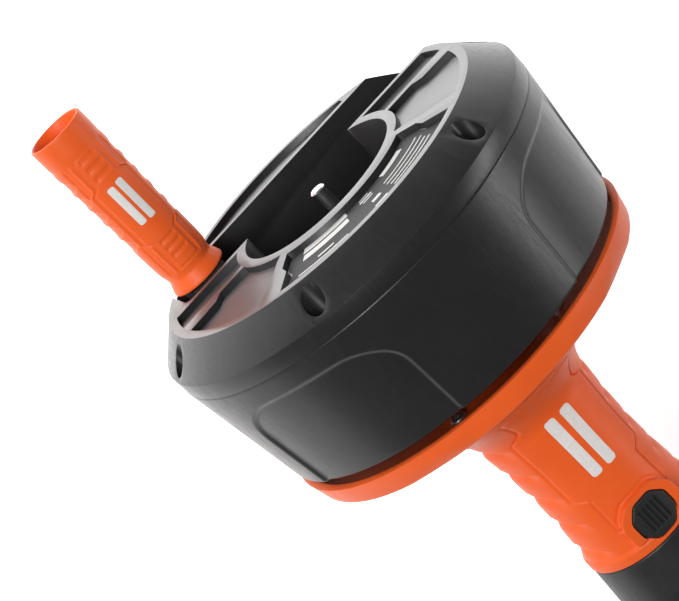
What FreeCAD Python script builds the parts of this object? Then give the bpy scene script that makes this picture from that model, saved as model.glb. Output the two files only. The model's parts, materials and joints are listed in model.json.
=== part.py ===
import FreeCAD, Part
import math
import os

# Hand-held drain snake: a cable drum that turns behind a straight grip, with a drill shank
# and a folding crank on the drum's rear face and a feed nose at the grip's front.
#
# Everything is drawn in the tool's own frame, in millimetres. X is the drum's axis, from the drum's
# rear face (X = 0) towards the nose. Y is the direction in which the crank folds. Z is up, and the
# thumb button is on top of the grip. write() then moves each piece so that the origin is under the
# middle of the whole tool, at the height of the drum's lowest point.

V = FreeCAD.Vector
X_AXIS = V(1, 0, 0)
Z_AXIS = V(0, 0, 1)

# ---------------------------------------------------------------- driving dimensions
# fits and clearances
RUN_CLEAR = 0.06        # radial, shaft in its bush
SEAT_CLEAR = 0.05       # radial, a fixed piece in its seat, and a screw in its hole
SIDE_CLEAR = 0.6        # each side of a piece that swings in a slot
FACE_GAP = 0.3          # between faces that pass each other
OVERRUN = 2.0           # how far a cutting shape runs past the surface it cuts
HAIR = 0.01             # tolerance for picking edges

# drum
DRUM_R = 95.0           # largest radius, at the foot of the bevel
DRUM_X = 80.4           # front of the drum
BEVEL_DROP = 13.5       # radius lost over the bevel
BEVEL_X = 13.3          # depth of the bevel
COVER_BAND = 7.7        # width of the cover's band outside the bevel
SEAM_DROP = 0.2
SHELL_TAPER = 7.1       # radius lost from the seam to the front
LIP_ROUND = 2.2
LIP_STEPS = 5
WALL = 3.0
FACE_WALL = 7.0         # the rear face, thick enough for its pockets
RIB_WALL = 2.8          # pit and trough walls
SPIGOT_LENGTH = 4.0
SPIGOT_WALL = 2.0

# drill pit, handle trough and shank
PIT_R = 38.7
PIT_DEPTH = 38.0
PIT_FLOOR = 5.0
TROUGH_WIDTH = 33.2
TROUGH_OFF = 40.3       # from the drum's axis to the trough's centre line
TROUGH_FLOOR_GAP = 1.1  # under the folded sleeve
TROUGH_END_GAP = 3.3    # behind the yoke
TROUGH_CORNER = 4.0
RAMP_GAP = 12.6         # from the folded sleeve's end to the foot of the ramp
RAMP_TOP_X = 12.6
SHANK_R = 3.5
SHANK_CHAMFER = 0.6
SHANK_NECK_R = 3.2      # undercut above the pit's floor
SHANK_NECK = 2.0
SHANK_ROOT_R = 4.2      # in the pit's floor and the plate
SHANK_TIP_X = 0.5
PLATE_R = 20.0
PLATE_THICK = 3.0
PLATE_SCREW_EDGE = 1.0  # from a screw head to the plate's edge
PLATE_SCREW_SHORT = 1.5 # left of the pit's floor beyond a screw
PLATE_BLIND = 1.0       # left of the pit's floor beyond a screw hole
SHANK_HEAD_R = 6.0
SHANK_HEAD = 2.0

# pockets in the rear face
LAND = 3.2              # width of the ribs between pockets
POCKET_DEPTH = 3.0
POCKET_LAND = 1.9       # from the pit's wall to the pockets
POCKET_RIM = 4.1        # from the pockets to the edge of the face
CRESCENT_RIM = 2.9
CRESCENT_HALF = 45.0
SIDE_POCKET_UP = 17.4   # height of the pockets beside the trough
SIDE_POCKET_RIB = 3.6
SIDE_POCKET_FOOT = [(30.0, 0.0), (57.5, 0.0), (62.0, 4.6)]
SIDE_POCKET_RISE = 7.0
SIDE_POCKET_HEAD = [(59.0, 54.2), (44.3, 40.6), (37.5, 31.4), (30.0, 24.3)]
LABEL_DEPTH = 3.0
LABEL_THICK = 0.4
LABEL_MARGIN = 1.2
LABEL_LAND = 4.5        # from the pit's wall to the label recess
LABEL_EDGE = [(30.0, 30.0), (39.0, 42.0), (39.5, 48.3), (47.6, 59.3), (54.0, 68.0)]

# cover screws, on a circle
COVER_SCREWS = 6
SCREW_INSET = 6.6       # from the drum's largest radius to the screws
WELL_R = 5.0
WELL_FLOOR = 5.4        # thickness under the screw heads
COVER_BOSS_R = 7.6
SHELL_BOSS_R = 5.0
SHELL_BOSS_END = 8.4    # beyond the screws' tips
COVER_SCREW_R = 2.0
COVER_SCREW_LENGTH = 20.0
COVER_HEAD_R = 3.9
COVER_HEAD = 2.6

# all pan heads, as shares of the head's radius and height
HEAD_ROUND = 0.45
SOCKET = 0.45
SOCKET_DEPTH = 0.6

# side panels of the shell
PANEL_TURN = 49.0       # each side of the top and of the bottom, in degrees
PANEL_HALF = 40.4       # half width
PANEL_X = 31.0
PANEL_BOW = 1.0
PANEL_CORNER_Y = 13.0
PANEL_CORNER_X = 11.5
PANEL_DEPTH = 1.3
PANEL_SIDE_ROUND = 6.0

# hub that carries the drum on the grip
HUB_R = 12.0
HUB_WALL = 3.5
HUB_FLANGE_WIDE = 12.0
HUB_FLANGE = 3.0
HUB_PAD_WIDE = 4.0
HUB_PAD = 6.0
HUB_BLIND = 1.0         # left of the drum's front beyond a screw hole
HUB_SCREWS = 4
HUB_SCREW_EDGE = 5.5    # from the flange's edge to the screws
HUB_SCREW_R = 2.0
HUB_SCREW_LENGTH = 4.6
SMALL_HEAD_R = 3.6
SMALL_HEAD = 2.0
FUNNEL_OUT = 6.4        # how far the funnel stands out of the hub
FUNNEL_FLARE = 3.5
FUNNEL_LENGTH = 22.0
FUNNEL_THROAT = 3.0
FUNNEL_WALL = 1.6
FUNNEL_CLEAR = 1.425    # radial, around the cable

# bearings
BUSH_WALL = 3.0
REAR_BUSH_LENGTH = 21.0
FRONT_BUSH_LENGTH = 12.0
FRONT_BUSH_AT = 33.0    # from the grip's root
WASHER_WIDE = 11.0
WASHER_THICK = 1.9
WASHER_EDGE = 1.0       # from the washer to the edge of the flange's hub
RING_GAP = 1.6          # from the front bush to the ring
RING_THICK = 1.2
RING_DEPTH = 1.2
RING_OUT = 2.4
RING_SPLIT = 6.0
HUB_TAIL = 2.2          # from the ring to the end of the hub

# guard flange on the grip
FLANGE_GAP = 4.0        # from the drum's front to the flange's edge
FLANGE_OVER = 0.1       # how much larger than the drum's front it is
FLANGE_DRAFT = 2.2      # radius lost over its rim
FLANGE_RIM = 10.5       # axial length of its rim
FLANGE_EDGE = 0.8       # bevel of its front edge
FLANGE_SHOULDER_X = 2.2
FLANGE_SHOULDER_R = 8.0
FLANGE_WALL = 3.5
FLANGE_RISE = 10.1      # from the rim to the face that the grip is screwed to
FLANGE_SEAT_R = 51.0
FLANGE_SEAT_BEVEL = 3.0
REST_DROP = 3.8         # depth of the flat that the tool rests on
FACET_TURN = 38.0       # facets on the front edge, from the top and from the bottom
FACET_DROP = 3.8
FACET_START = 1.5
FLANGE_SCREWS = 4
FLANGE_SCREW_TURN = 45.0
FLANGE_SCREW_EDGE = 8.5 # from the grip's root edge to the screws
FLANGE_SCREW_R = 2.0
FLANGE_SCREW_LENGTH = 9.5
FLANGE_SCREW_END = 0.5  # hole beyond the tip

# grip, with its lengths from the root unless a note says otherwise
GRIP_WALL = 3.0
GRIP_ROOT_DROP = 0.5    # from the flange's seat edge to the grip's root edge
GRIP_ROOT = 4.0
GRIP_ROOT_BEVEL = 1.0
GRIP_ROOT_WALL = 6.0
GRIP_ROOT_LEDGE = 8.0   # width of the screwed ledge inside the screws
NECK_AT = 29.0
NECK_R = 28.9
FLARE_STEPS = 8
FLARE_POWER = 2.4
WAIST_AT = 62.0
WAIST_R = 26.9
WAIST_STEPS = 9
COLLAR_AT = 94.5
COLLAR_R = 30.0
COLLAR_RAMP = 1.5
COLLAR_EDGE = 0.6
COLLAR_LENGTH = 5.5
SCALLOPS = 5
SCALLOP_AT = 22.5
SCALLOP_PITCH = 15.7
SCALLOP_R = 13.0
SCALLOP_DEPTH = 1.5
PLAQUE_HEIGHT = 0.7
PLAQUE_NARROW = 14.4
PLAQUE_WIDE = 19.8
PLAQUE_AT = 10.0
PLAQUE_WIDE_AT = 21.0
PLAQUE_STEP = 4.6
PLAQUE_NARROW_AT = 61.8
PLAQUE_END_AT = 79.0
GRIP_SCREW_R = 1.6
GRIP_SCREW_BOSS_R = 4.4
GRIP_SCREW_SEAT = 10.0  # below the parting plane
GRIP_SCREW_TIP = 9.0    # above it
GRIP_SCREW_END = 1.0    # hole beyond the tip
GRIP_HEAD_R = 3.1
GRIP_HEAD = 2.2
REAR_SCREW_AT = 25.0
REAR_SCREW_GAP = 3.0    # from the hub to the screw's boss
FRONT_SCREW_AT = 65.0
FRONT_SCREW_GAP = 3.6   # from the cable guide to the screw's boss
WEB = 3.0               # thickness of the grip's inner webs

# thumb button, its spring and its brake shoe
BUTTON_BACK = 6.1       # from the grip's collar to the button's middle
BUTTON_LENGTH = 18.4
BUTTON_WIDTH = 19.4
BUTTON_CORNER = 5.4
BUTTON_PROUD = 0.4      # above the grip's collar
BUTTON_CROWN = 0.6      # how much flatter its top is than the collar
BUTTON_SKIRT = 7.0
BUTTON_WALL = 2.4
BUTTON_CAP = 3.0
BUTTON_TRAVEL = 3.0
BUTTON_RIM = 2.4        # width of the rim around it
BUTTON_RIM_DROP = 0.3   # rim below the grip's collar
BUTTON_RIBS = 5
BUTTON_GROOVE = 0.9     # width
BUTTON_GROOVE_DEPTH = 0.8
BUTTON_GROOVE_END = 3.6
STEM_R = 2.8
SHOE_LENGTH = 9.0
SHOE_WIDTH = 6.0
SHOE_HEIGHT = 3.0
SHOE_LIP = 1.0          # how far the shoe reaches down beside the cable
SPRING_R = 6.4
SPRING_WIRE_R = 0.6
SPRING_TURNS = 4
SPRING_SEAT = 1.5       # height of the seat above the cable guide
SPRING_SEAT_RIM = 2.0

# nose
GUIDE_CLEAR = 1.225     # radial, around the cable
GUIDE_WALL = 3.1
GUIDE_GAP = 3.0         # from the hub to the guide
GUIDE_WEB_AT = 2.0
GUIDE_COLLAR = 4.5
GUIDE_COLLAR_AT = 20.0
NOSE_DROP = 0.3         # below the grip's collar
NOSE_GAP = 0.2
NOSE_EDGE = 0.5
NOSE_BULGE = 1.5
NOSE_BULGE_AT = 21.0    # from the grip's end
NOSE_SHOULDER_AT = 33.0
NOSE_SHOULDER_DROP = 0.4
NOSE_SHOULDER_BEVEL = 3.0
NOSE_TIP_AT = 57.0
NOSE_TIP_WALL = 4.0     # around the ferrule
NOSE_TIP_BEVEL_X = 6.0
NOSE_TIP_BEVEL = 3.0
NOSE_WALL = 3.2
NOSE_DOME = 10.0        # from the tip to the hollow
NOSE_SPIGOT = 10.0
NOSE_SPIGOT_FIT = 0.5   # radius that the grip's front wall gives up to the spigot
NOSE_ROOT = 4.0
NOSE_FLUTES = 18
NOSE_FLUTE_R = 2.4
NOSE_FLUTE_DEPTH = 0.9
NOSE_FLUTE_AT = 28.0
NOSE_SCREW_BACK = 5.6
NOSE_SCREW_Y = 9.0
NOSE_SCREW_R = 1.5
NOSE_SCREW_WALL = 2.2   # under its head
NOSE_SCREW_LENGTH = 6.2
NOSE_HEAD_R = 2.9
NOSE_HEAD = 1.6
FERRULE_WALL = 4.6
FERRULE_LENGTH = 14.0
FERRULE_OUT = 5.0
FERRULE_BEVEL = 1.5
FERRULE_LEAD = 0.8

# cable
CABLE_R = 3.175
CABLE_LENGTH = 7620.0
COIL_WALL_GAP = 2.225   # from the outer layer to the screw bosses
COIL_FLOOR_GAP = 4.025  # from the first turn to the trough
COIL_SPACE = 0.75       # between turns
LEAD_DROP = 11.2        # from the last layer to the start of the lead
LEAD_GAP = 1.825        # from the shank's head to the lead
LEAD_BEND_R = 21.0
CABLE_TIP_GAP = 3.0
BULB_LENGTH = 28.0
BULB_OUT = 4.825        # how much larger than the cable the bulb is
BULB_SHAPE = [(0.133, 0.12), (0.333, 0.67), (0.533, 1.0), (0.767, 0.54), (0.964, 0.0)]
BULB_TIP = 0.7
CLIP_HALF = 5.0
CLIP_WALL = 2.0
CLIP_HOOK = 1.0         # past the cable's centre line

# crank
CRANK_OFF = 52.7        # from the drum's axis, against the way it folds
PIVOT_X = 16.5
PIVOT_PIN_R = 3.0
PIVOT_HEAD_R = 5.0
PIVOT_HEAD = 1.6
PIVOT_BOSS_R = 7.0
YOKE_HUB_R = 11.0
YOKE_NECK_HALF = 9.5
YOKE_NECK_INSET = 4.0   # each side, from the yoke's hub
YOKE_NECK_ROUND = 3.0
SPINDLE_R = 4.5
SPINDLE_ROOT = 9.0
SLEEVE_LENGTH = 85.6
SLEEVE_BEARING = 32.0
SLEEVE_BORE_R = 10.4
SLEEVE_COLLAR_R = 13.2
SLEEVE_EDGE = 0.8
SLEEVE_SHAPE = [(3.2, 12.7), (6.0, 11.0), (9.0, 11.6), (16.0, 12.3), (34.0, 12.7), (60.0, 13.2)]
SLEEVE_END_R = 13.4
SLEEVE_END_LAND = 9.0
SLEEVE_END_TAPER = 3.5
SLEEVE_MOUTH_R = 12.2
SLEEVE_MOUTH_WIDEN = 0.8
SLEEVE_MOUTH_LEAD = 1.5
END_WASHER_R = 9.0
END_WASHER = 1.2
END_SCREW_R = 2.5
END_SCREW_HEAD_R = 4.2
END_SCREW_HEAD = 2.8
END_SCREW_LENGTH = 12.0
LEAF_THICK = 0.8
LEAF_WIDTH = 12.0
LEAF_HALF = 7.5
LEAF_CREST_HALF = 3.0
LEAF_HEAD = 1.4
DETENT_FLAT = 0.5

# ---------------------------------------------------------------- sizes that follow
RIM_R = DRUM_R - BEVEL_DROP
SEAM_R = DRUM_R - SEAM_DROP
SEAM_X = BEVEL_X + COVER_BAND
FRONT_R = SEAM_R - SHELL_TAPER
SCREW_CIRCLE_R = DRUM_R - SCREW_INSET
WELL_FLOOR_X = SEAM_X - WELL_FLOOR
SHELL_BOSS_X = WELL_FLOOR_X + COVER_SCREW_LENGTH + SHELL_BOSS_END

CRANK_Y = -CRANK_OFF
TROUGH_DEPTH = PIVOT_X + max(SLEEVE_END_R, YOKE_HUB_R) + TROUGH_FLOOR_GAP
TROUGH_END_Y = CRANK_Y - YOKE_HUB_R - TROUGH_END_GAP
TROUGH_Z = -TROUGH_OFF
TROUGH_NEAR_Z = TROUGH_Z + TROUGH_WIDTH / 2
TROUGH_FAR_Z = TROUGH_Z - TROUGH_WIDTH / 2
RAMP_Y = CRANK_Y + PIVOT_X + SLEEVE_LENGTH + RAMP_GAP
YOKE_HALF = TROUGH_WIDTH / 2 - SIDE_CLEAR
CRANK_MOUTH_X = -SLEEVE_LENGTH

POCKET_IN_R = PIT_R + RIB_WALL + POCKET_LAND
POCKET_OUT_R = RIM_R - POCKET_RIM
CRESCENT_R = RIM_R - CRESCENT_RIM
LABEL_IN_R = PIT_R + RIB_WALL + LABEL_LAND

PLATE_X = PIT_DEPTH + PIT_FLOOR
PLATE_SCREW_CIRCLE_R = PLATE_R - SMALL_HEAD_R - PLATE_SCREW_EDGE

HUB_BORE_R = HUB_R - HUB_WALL
HUB_FLANGE_R = HUB_R + HUB_FLANGE_WIDE
HUB_PAD_R = HUB_FLANGE_R + HUB_PAD_WIDE
HUB_SCREW_CIRCLE_R = HUB_FLANGE_R - HUB_SCREW_EDGE
HUB_FLANGE_X = DRUM_X - HUB_PAD - HUB_FLANGE
FUNNEL_X = HUB_FLANGE_X - FUNNEL_OUT
FUNNEL_MOUTH_R = HUB_BORE_R + FUNNEL_FLARE
FUNNEL_BORE_R = CABLE_R + FUNNEL_CLEAR

FLANGE_X = DRUM_X + FLANGE_GAP
FLANGE_REAR_R = FRONT_R + FLANGE_OVER
FLANGE_FRONT_R = FLANGE_REAR_R - FLANGE_DRAFT
FLANGE_FRONT_X = FLANGE_X + FLANGE_RIM
FLANGE_SEAT_X = FLANGE_FRONT_X + FLANGE_RISE
REST_FLAT = FLANGE_REAR_R - REST_DROP

BUSH_R = HUB_R + BUSH_WALL
WASHER_R = HUB_R + WASHER_WIDE
FLANGE_HUB_R = WASHER_R + WASHER_EDGE
FRONT_BUSH_X = FLANGE_SEAT_X + FRONT_BUSH_AT
RING_X = FRONT_BUSH_X + FRONT_BUSH_LENGTH + RING_GAP
RING_R = HUB_R + RING_OUT
HUB_END_X = RING_X + RING_THICK + HUB_TAIL

GRIP_ROOT_R = FLANGE_SEAT_R - GRIP_ROOT_DROP
FLANGE_SCREW_CIRCLE_R = GRIP_ROOT_R - FLANGE_SCREW_EDGE
NECK_X = FLANGE_SEAT_X + NECK_AT
WAIST_X = FLANGE_SEAT_X + WAIST_AT
COLLAR_X = FLANGE_SEAT_X + COLLAR_AT
GRIP_END_X = COLLAR_X + COLLAR_LENGTH
SPIGOT_R = WAIST_R - GRIP_WALL + NOSE_SPIGOT_FIT

BUTTON_X = COLLAR_X - BUTTON_BACK
BUTTON_TOP_Z = COLLAR_R + BUTTON_PROUD
BUTTON_RIM_Z = COLLAR_R - BUTTON_RIM_DROP

GUIDE_BORE_R = CABLE_R + GUIDE_CLEAR
GUIDE_R = GUIDE_BORE_R + GUIDE_WALL
GUIDE_X = HUB_END_X + GUIDE_GAP
NOSE_X = GRIP_END_X + NOSE_GAP
NOSE_REAR_R = COLLAR_R - NOSE_DROP
NOSE_BULGE_R = NOSE_REAR_R + NOSE_BULGE
NOSE_SHOULDER_X = GRIP_END_X + NOSE_SHOULDER_AT
NOSE_TIP_X = GRIP_END_X + NOSE_TIP_AT
FERRULE_R = GUIDE_BORE_R + FERRULE_WALL
FERRULE_X = NOSE_TIP_X + FERRULE_OUT - FERRULE_LENGTH
FERRULE_END_X = NOSE_TIP_X + FERRULE_OUT
NOSE_TIP_R = FERRULE_R + NOSE_TIP_WALL
NOSE_SCREW_X = GRIP_END_X - NOSE_SCREW_BACK
NOSE_SCREW_Z = -math.sqrt(SPIGOT_R ** 2 - NOSE_SCREW_Y ** 2) - NOSE_SCREW_WALL

COIL_R = SCREW_CIRCLE_R - SHELL_BOSS_R - CABLE_R - COIL_WALL_GAP
COIL_X = TROUGH_DEPTH + RIB_WALL + CABLE_R + COIL_FLOOR_GAP
COIL_PITCH = 2 * CABLE_R + COIL_SPACE
COIL_HALF_TURNS = int(2 * (DRUM_X - WALL - CABLE_R - FACE_GAP - COIL_X) / COIL_PITCH)
LEAD_X = PLATE_X + PLATE_THICK + SHANK_HEAD + CABLE_R + LEAD_GAP
BULB_X = FERRULE_END_X + CABLE_TIP_GAP
BULB_END_X = BULB_X + BULB_LENGTH

SHIFT = V(-(CRANK_MOUTH_X + BULB_END_X) / 2, 0, DRUM_R)


# ---------------------------------------------------------------- helpers
def turned(points):
    """A solid turned about X from its outline of (x, radius) points."""
    outline = [V(x, 0, r) for x, r in points]
    face = Part.Face(Part.makePolygon(outline + outline[:1]))
    return face.revolve(V(0, 0, 0), X_AXIS, 360)


def rod(r, x0, x1, y=0.0, z=0.0):
    return Part.makeCylinder(r, x1 - x0, V(x0, y, z), X_AXIS)


def tube(r_out, r_in, x0, x1, y=0.0, z=0.0):
    return rod(r_out, x0, x1, y, z).cut(rod(r_in, x0 - OVERRUN, x1 + OVERRUN, y, z))


def post(r, x, y, z0, z1):
    return Part.makeCylinder(r, z1 - z0, V(x, y, z0), Z_AXIS)


def block(x0, x1, y0, y1, z0, z1):
    return Part.makeBox(x1 - x0, y1 - y0, z1 - z0, V(x0, y0, z0))


def prism_x(points, x0, x1):
    """A prism along X from an outline of (y, z) points."""
    outline = [V(x0, y, z) for y, z in points]
    return Part.Face(Part.makePolygon(outline + outline[:1])).extrude(V(x1 - x0, 0, 0))


def prism_z(points, z0, z1):
    """A prism along Z from an outline of (x, y) points."""
    outline = [V(x, y, z0) for x, y in points]
    return Part.Face(Part.makePolygon(outline + outline[:1])).extrude(V(0, 0, z1 - z0))


def about_x(shape, degrees):
    copy = shape.copy()
    copy.rotate(V(0, 0, 0), X_AXIS, degrees)
    return copy


def around(count, first=0.0):
    """Angles, in degrees, of a full circle of equal steps."""
    return [first + 360.0 * i / count for i in range(count)]


def on_circle(radius, degrees):
    angle = math.radians(degrees)
    return radius * math.cos(angle), radius * math.sin(angle)


def mirrored(points):
    return [(-y, z) for y, z in points]


def fuse(shapes):
    return shapes[0].multiFuse(shapes[1:]).removeSplitter()


def write(name, shape):
    """Place a piece, or a group of separate like pieces, and export it."""
    piece = shape.copy()
    piece.translate(SHIFT)
    piece.exportStep("parts/" + name + ".step")
    print(name, "solids", len(piece.Solids), "valid", piece.isValid(), "volume", round(piece.Volume))


# ---------------------------------------------------------------- drum: rear cover
def cover_envelope():
    return turned([(0, 0), (0, RIM_R), (BEVEL_X, DRUM_R), (SEAM_X, SEAM_R), (SEAM_X, 0)])


def shell_radius(x):
    return SEAM_R + (FRONT_R - SEAM_R) * (x - SEAM_X) / (DRUM_X - SEAM_X)


def trough_outline(extra):
    """Side view of the handle trough, (x, y), grown by extra on its closed sides."""
    ramp_end = DRUM_R + OVERRUN
    return [(-OVERRUN, TROUGH_END_Y - extra), (TROUGH_DEPTH + extra, TROUGH_END_Y - extra),
            (TROUGH_DEPTH + extra, RAMP_Y + extra), (RAMP_TOP_X + extra, ramp_end),
            (-OVERRUN, ramp_end)]


def trough(extra):
    width = TROUGH_WIDTH / 2 + extra
    body = prism_z(trough_outline(extra), TROUGH_Z - width, TROUGH_Z + width)
    corners = [e for e in body.Edges if e.BoundBox.YMax < TROUGH_END_Y + HAIR and e.BoundBox.ZLength < HAIR]
    return body.makeFillet(TROUGH_CORNER + extra, corners)


def pocket(outline, r_in, r_out, depth):
    ring = tube(r_out, r_in, -OVERRUN, depth)
    return ring.common(prism_x(outline, -OVERRUN, depth))


def side_pockets():
    near = TROUGH_NEAR_Z + LAND
    far = near + SIDE_POCKET_UP
    beside_trough = [(0, near), (DRUM_R, near), (DRUM_R, far), (0, far)]
    foot = far + SIDE_POCKET_RIB
    beside_label = [(y, foot + z) for y, z in SIDE_POCKET_FOOT]
    beside_label += [(DRUM_R, foot + SIDE_POCKET_RISE), (DRUM_R, SIDE_POCKET_HEAD[0][1])]
    beside_label += SIDE_POCKET_HEAD
    pockets = []
    for outline in (beside_trough, beside_label):
        pockets.append(pocket(outline, POCKET_IN_R, POCKET_OUT_R, POCKET_DEPTH))
        pockets.append(pocket(mirrored(outline), POCKET_IN_R, POCKET_OUT_R, POCKET_DEPTH))
    return pockets


def label_outline(inset):
    """The label recess, which widens in two steps towards the rim."""
    right = [(y - inset, z) for y, z in LABEL_EDGE]
    right.append((right[-1][0], DRUM_R))
    return right + mirrored(right)[::-1]


def label_recess():
    return pocket(label_outline(0), LABEL_IN_R, POCKET_OUT_R, LABEL_DEPTH)


def crescent_pocket():
    far = TROUGH_FAR_Z - LAND
    outline = [(-CRESCENT_HALF, far), (CRESCENT_HALF, far), (CRESCENT_HALF, -DRUM_R),
               (-CRESCENT_HALF, -DRUM_R)]
    return pocket(outline, LAND, CRESCENT_R, POCKET_DEPTH)


def make_rear_cover():
    envelope = cover_envelope()
    hollow = turned([(FACE_WALL, 0), (FACE_WALL, RIM_R), (BEVEL_X, DRUM_R - WALL),
                     (SEAM_X + OVERRUN, DRUM_R - WALL), (SEAM_X + OVERRUN, 0)])
    spigot_r = shell_radius(SEAM_X + SPIGOT_LENGTH) - WALL - SEAT_CLEAR
    spigot = tube(spigot_r, spigot_r - SPIGOT_WALL, BEVEL_X, SEAM_X + SPIGOT_LENGTH)
    trough_end = TROUGH_DEPTH + RIB_WALL
    inside = turned([(0, 0), (0, RIM_R), (BEVEL_X, DRUM_R), (SEAM_X, SEAM_R), (SEAM_X, spigot_r),
                     (trough_end, shell_radius(trough_end) - WALL - FACE_GAP), (trough_end, 0)])
    bosses = []
    wells = []
    for turn in around(COVER_SCREWS):
        y, z = on_circle(SCREW_CIRCLE_R, turn)
        bosses.append(rod(COVER_BOSS_R, 0, SEAM_X, y, z).common(envelope))
        wells.append(rod(WELL_R, -OVERRUN, WELL_FLOOR_X, y, z))
        wells.append(rod(COVER_SCREW_R + SEAT_CLEAR, 0, SEAM_X + SPIGOT_LENGTH + OVERRUN, y, z))
        wells.append(rod(SHELL_BOSS_R + FACE_GAP, SEAM_X, SEAM_X + SPIGOT_LENGTH + OVERRUN, y, z))
    pit_wall = rod(PIT_R + RIB_WALL, 0, PLATE_X)
    trough_wall = trough(RIB_WALL).common(inside)
    pivot_bosses = post(PIVOT_BOSS_R, PIVOT_X, CRANK_Y, TROUGH_FAR_Z - RIB_WALL - PIVOT_HEAD,
                        TROUGH_NEAR_Z + RIB_WALL + PIVOT_HEAD)
    body = fuse([envelope.cut(hollow), spigot, pit_wall, trough_wall, pivot_bosses] + bosses)
    plate_holes = [rod(SHANK_ROOT_R + SEAT_CLEAR, PIT_DEPTH - OVERRUN, PLATE_X + OVERRUN)]
    for y, z in plate_screw_places():
        plate_holes.append(rod(HUB_SCREW_R + SEAT_CLEAR, PIT_DEPTH + PLATE_BLIND, PLATE_X + OVERRUN, y, z))
    pin_hole = post(PIVOT_PIN_R + SEAT_CLEAR, PIVOT_X, CRANK_Y, -DRUM_R, 0)
    leaf_hole = rod(HUB_SCREW_R + SEAT_CLEAR, TROUGH_DEPTH - OVERRUN, TROUGH_DEPTH + RIB_WALL + OVERRUN,
                    CRANK_Y + LEAF_HALF + SMALL_HEAD_R, TROUGH_Z)
    openings = [rod(PIT_R, -OVERRUN, PIT_DEPTH), trough(0), label_recess(), crescent_pocket()]
    return body.cut(openings + [pin_hole, leaf_hole] + side_pockets() + wells + plate_holes)


def make_label_plate():
    face = LABEL_DEPTH - LABEL_THICK
    ring = tube(POCKET_OUT_R - LABEL_MARGIN, LABEL_IN_R + LABEL_MARGIN, face, LABEL_DEPTH)
    return ring.common(prism_x(label_outline(LABEL_MARGIN), face, LABEL_DEPTH))


# ---------------------------------------------------------------- drum: shell
def shell_envelope(inset=0.0):
    """The shell's outer form with a rounded front lip, drawn in by inset."""
    middle_x = DRUM_X - LIP_ROUND
    middle_r = FRONT_R - inset - LIP_ROUND
    lip = []
    for i in range(LIP_STEPS + 1):
        r, x = on_circle(LIP_ROUND, 90.0 * i / LIP_STEPS)
        lip.append((middle_x + x, middle_r + r))
    return turned([(SEAM_X, 0), (SEAM_X, SEAM_R - inset)] + lip + [(DRUM_X, 0)])


def panel_cutter():
    """One side panel's recess, on top of the drum."""
    half = PANEL_HALF
    end = DRUM_X + OVERRUN
    side = half - PANEL_CORNER_Y
    outline = [(end, -half), (PANEL_X + PANEL_CORNER_X, -half), (PANEL_X + PANEL_BOW, -side), (PANEL_X, 0),
               (PANEL_X + PANEL_BOW, side), (PANEL_X + PANEL_CORNER_X, half), (end, half)]
    column = prism_z(outline, FRONT_R / 2, DRUM_R + OVERRUN)
    upright = [e for e in column.Edges if e.BoundBox.ZLength > FRONT_R / 4]
    corners = [e for e in upright if e.BoundBox.XMax < DRUM_X and abs(e.BoundBox.YMax) > side / 2]
    column = column.makeFillet(PANEL_SIDE_ROUND, corners)
    return column.cut(shell_envelope(PANEL_DEPTH))


def make_drum_shell():
    outer = shell_envelope()
    rear = SEAM_X - OVERRUN
    front = DRUM_X - WALL
    hollow = turned([(rear, 0), (rear, shell_radius(rear) - WALL), (front, shell_radius(front) - WALL),
                     (front, 0)])
    pieces = [outer.cut(hollow), rod(HUB_PAD_R, DRUM_X - HUB_PAD, DRUM_X)]
    holes = [rod(HUB_R + SEAT_CLEAR, SEAM_X, DRUM_X + OVERRUN)]
    for turn in around(COVER_SCREWS):
        y, z = on_circle(SCREW_CIRCLE_R, turn)
        pieces.append(rod(SHELL_BOSS_R, SEAM_X, SHELL_BOSS_X, y, z).common(outer))
        holes.append(rod(COVER_SCREW_R + SEAT_CLEAR, SEAM_X - OVERRUN, SHELL_BOSS_X - WALL, y, z))
    for turn in around(HUB_SCREWS):
        y, z = on_circle(HUB_SCREW_CIRCLE_R, turn)
        holes.append(rod(HUB_SCREW_R + SEAT_CLEAR, SEAM_X, DRUM_X - HUB_BLIND, y, z))
    recess = panel_cutter()
    for turn in (PANEL_TURN, -PANEL_TURN, 180 + PANEL_TURN, 180 - PANEL_TURN):
        holes.append(about_x(recess, turn))
    return fuse(pieces).cut(holes)


# ---------------------------------------------------------------- drum: fasteners, hub and shank
def screw_x(r, length, head_r, head, x, y, z, way=1):
    """A pan-head screw whose head's seat is at x; way is +1 when it points to +X."""
    shank = Part.makeCylinder(r, length, V(x, y, z), V(way, 0, 0))
    top = Part.makeCylinder(head_r, head, V(x, y, z), V(-way, 0, 0))
    top_x = x - way * head
    flat = [e for e in top.Edges if e.BoundBox.XLength < HAIR]
    rim = [e for e in flat if abs(e.BoundBox.XMin - top_x) < HAIR]
    top = top.makeFillet(head * HEAD_ROUND, rim)
    socket = Part.makeCylinder(head_r * SOCKET, head * SOCKET_DEPTH, V(top_x, y, z), V(way, 0, 0))
    return shank.fuse(top).removeSplitter().cut(socket)


def make_cover_screws():
    screws = []
    for turn in around(COVER_SCREWS):
        y, z = on_circle(SCREW_CIRCLE_R, turn)
        screws.append(screw_x(COVER_SCREW_R, COVER_SCREW_LENGTH, COVER_HEAD_R, COVER_HEAD,
                              WELL_FLOOR_X, y, z))
    return Part.makeCompound(screws)


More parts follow.
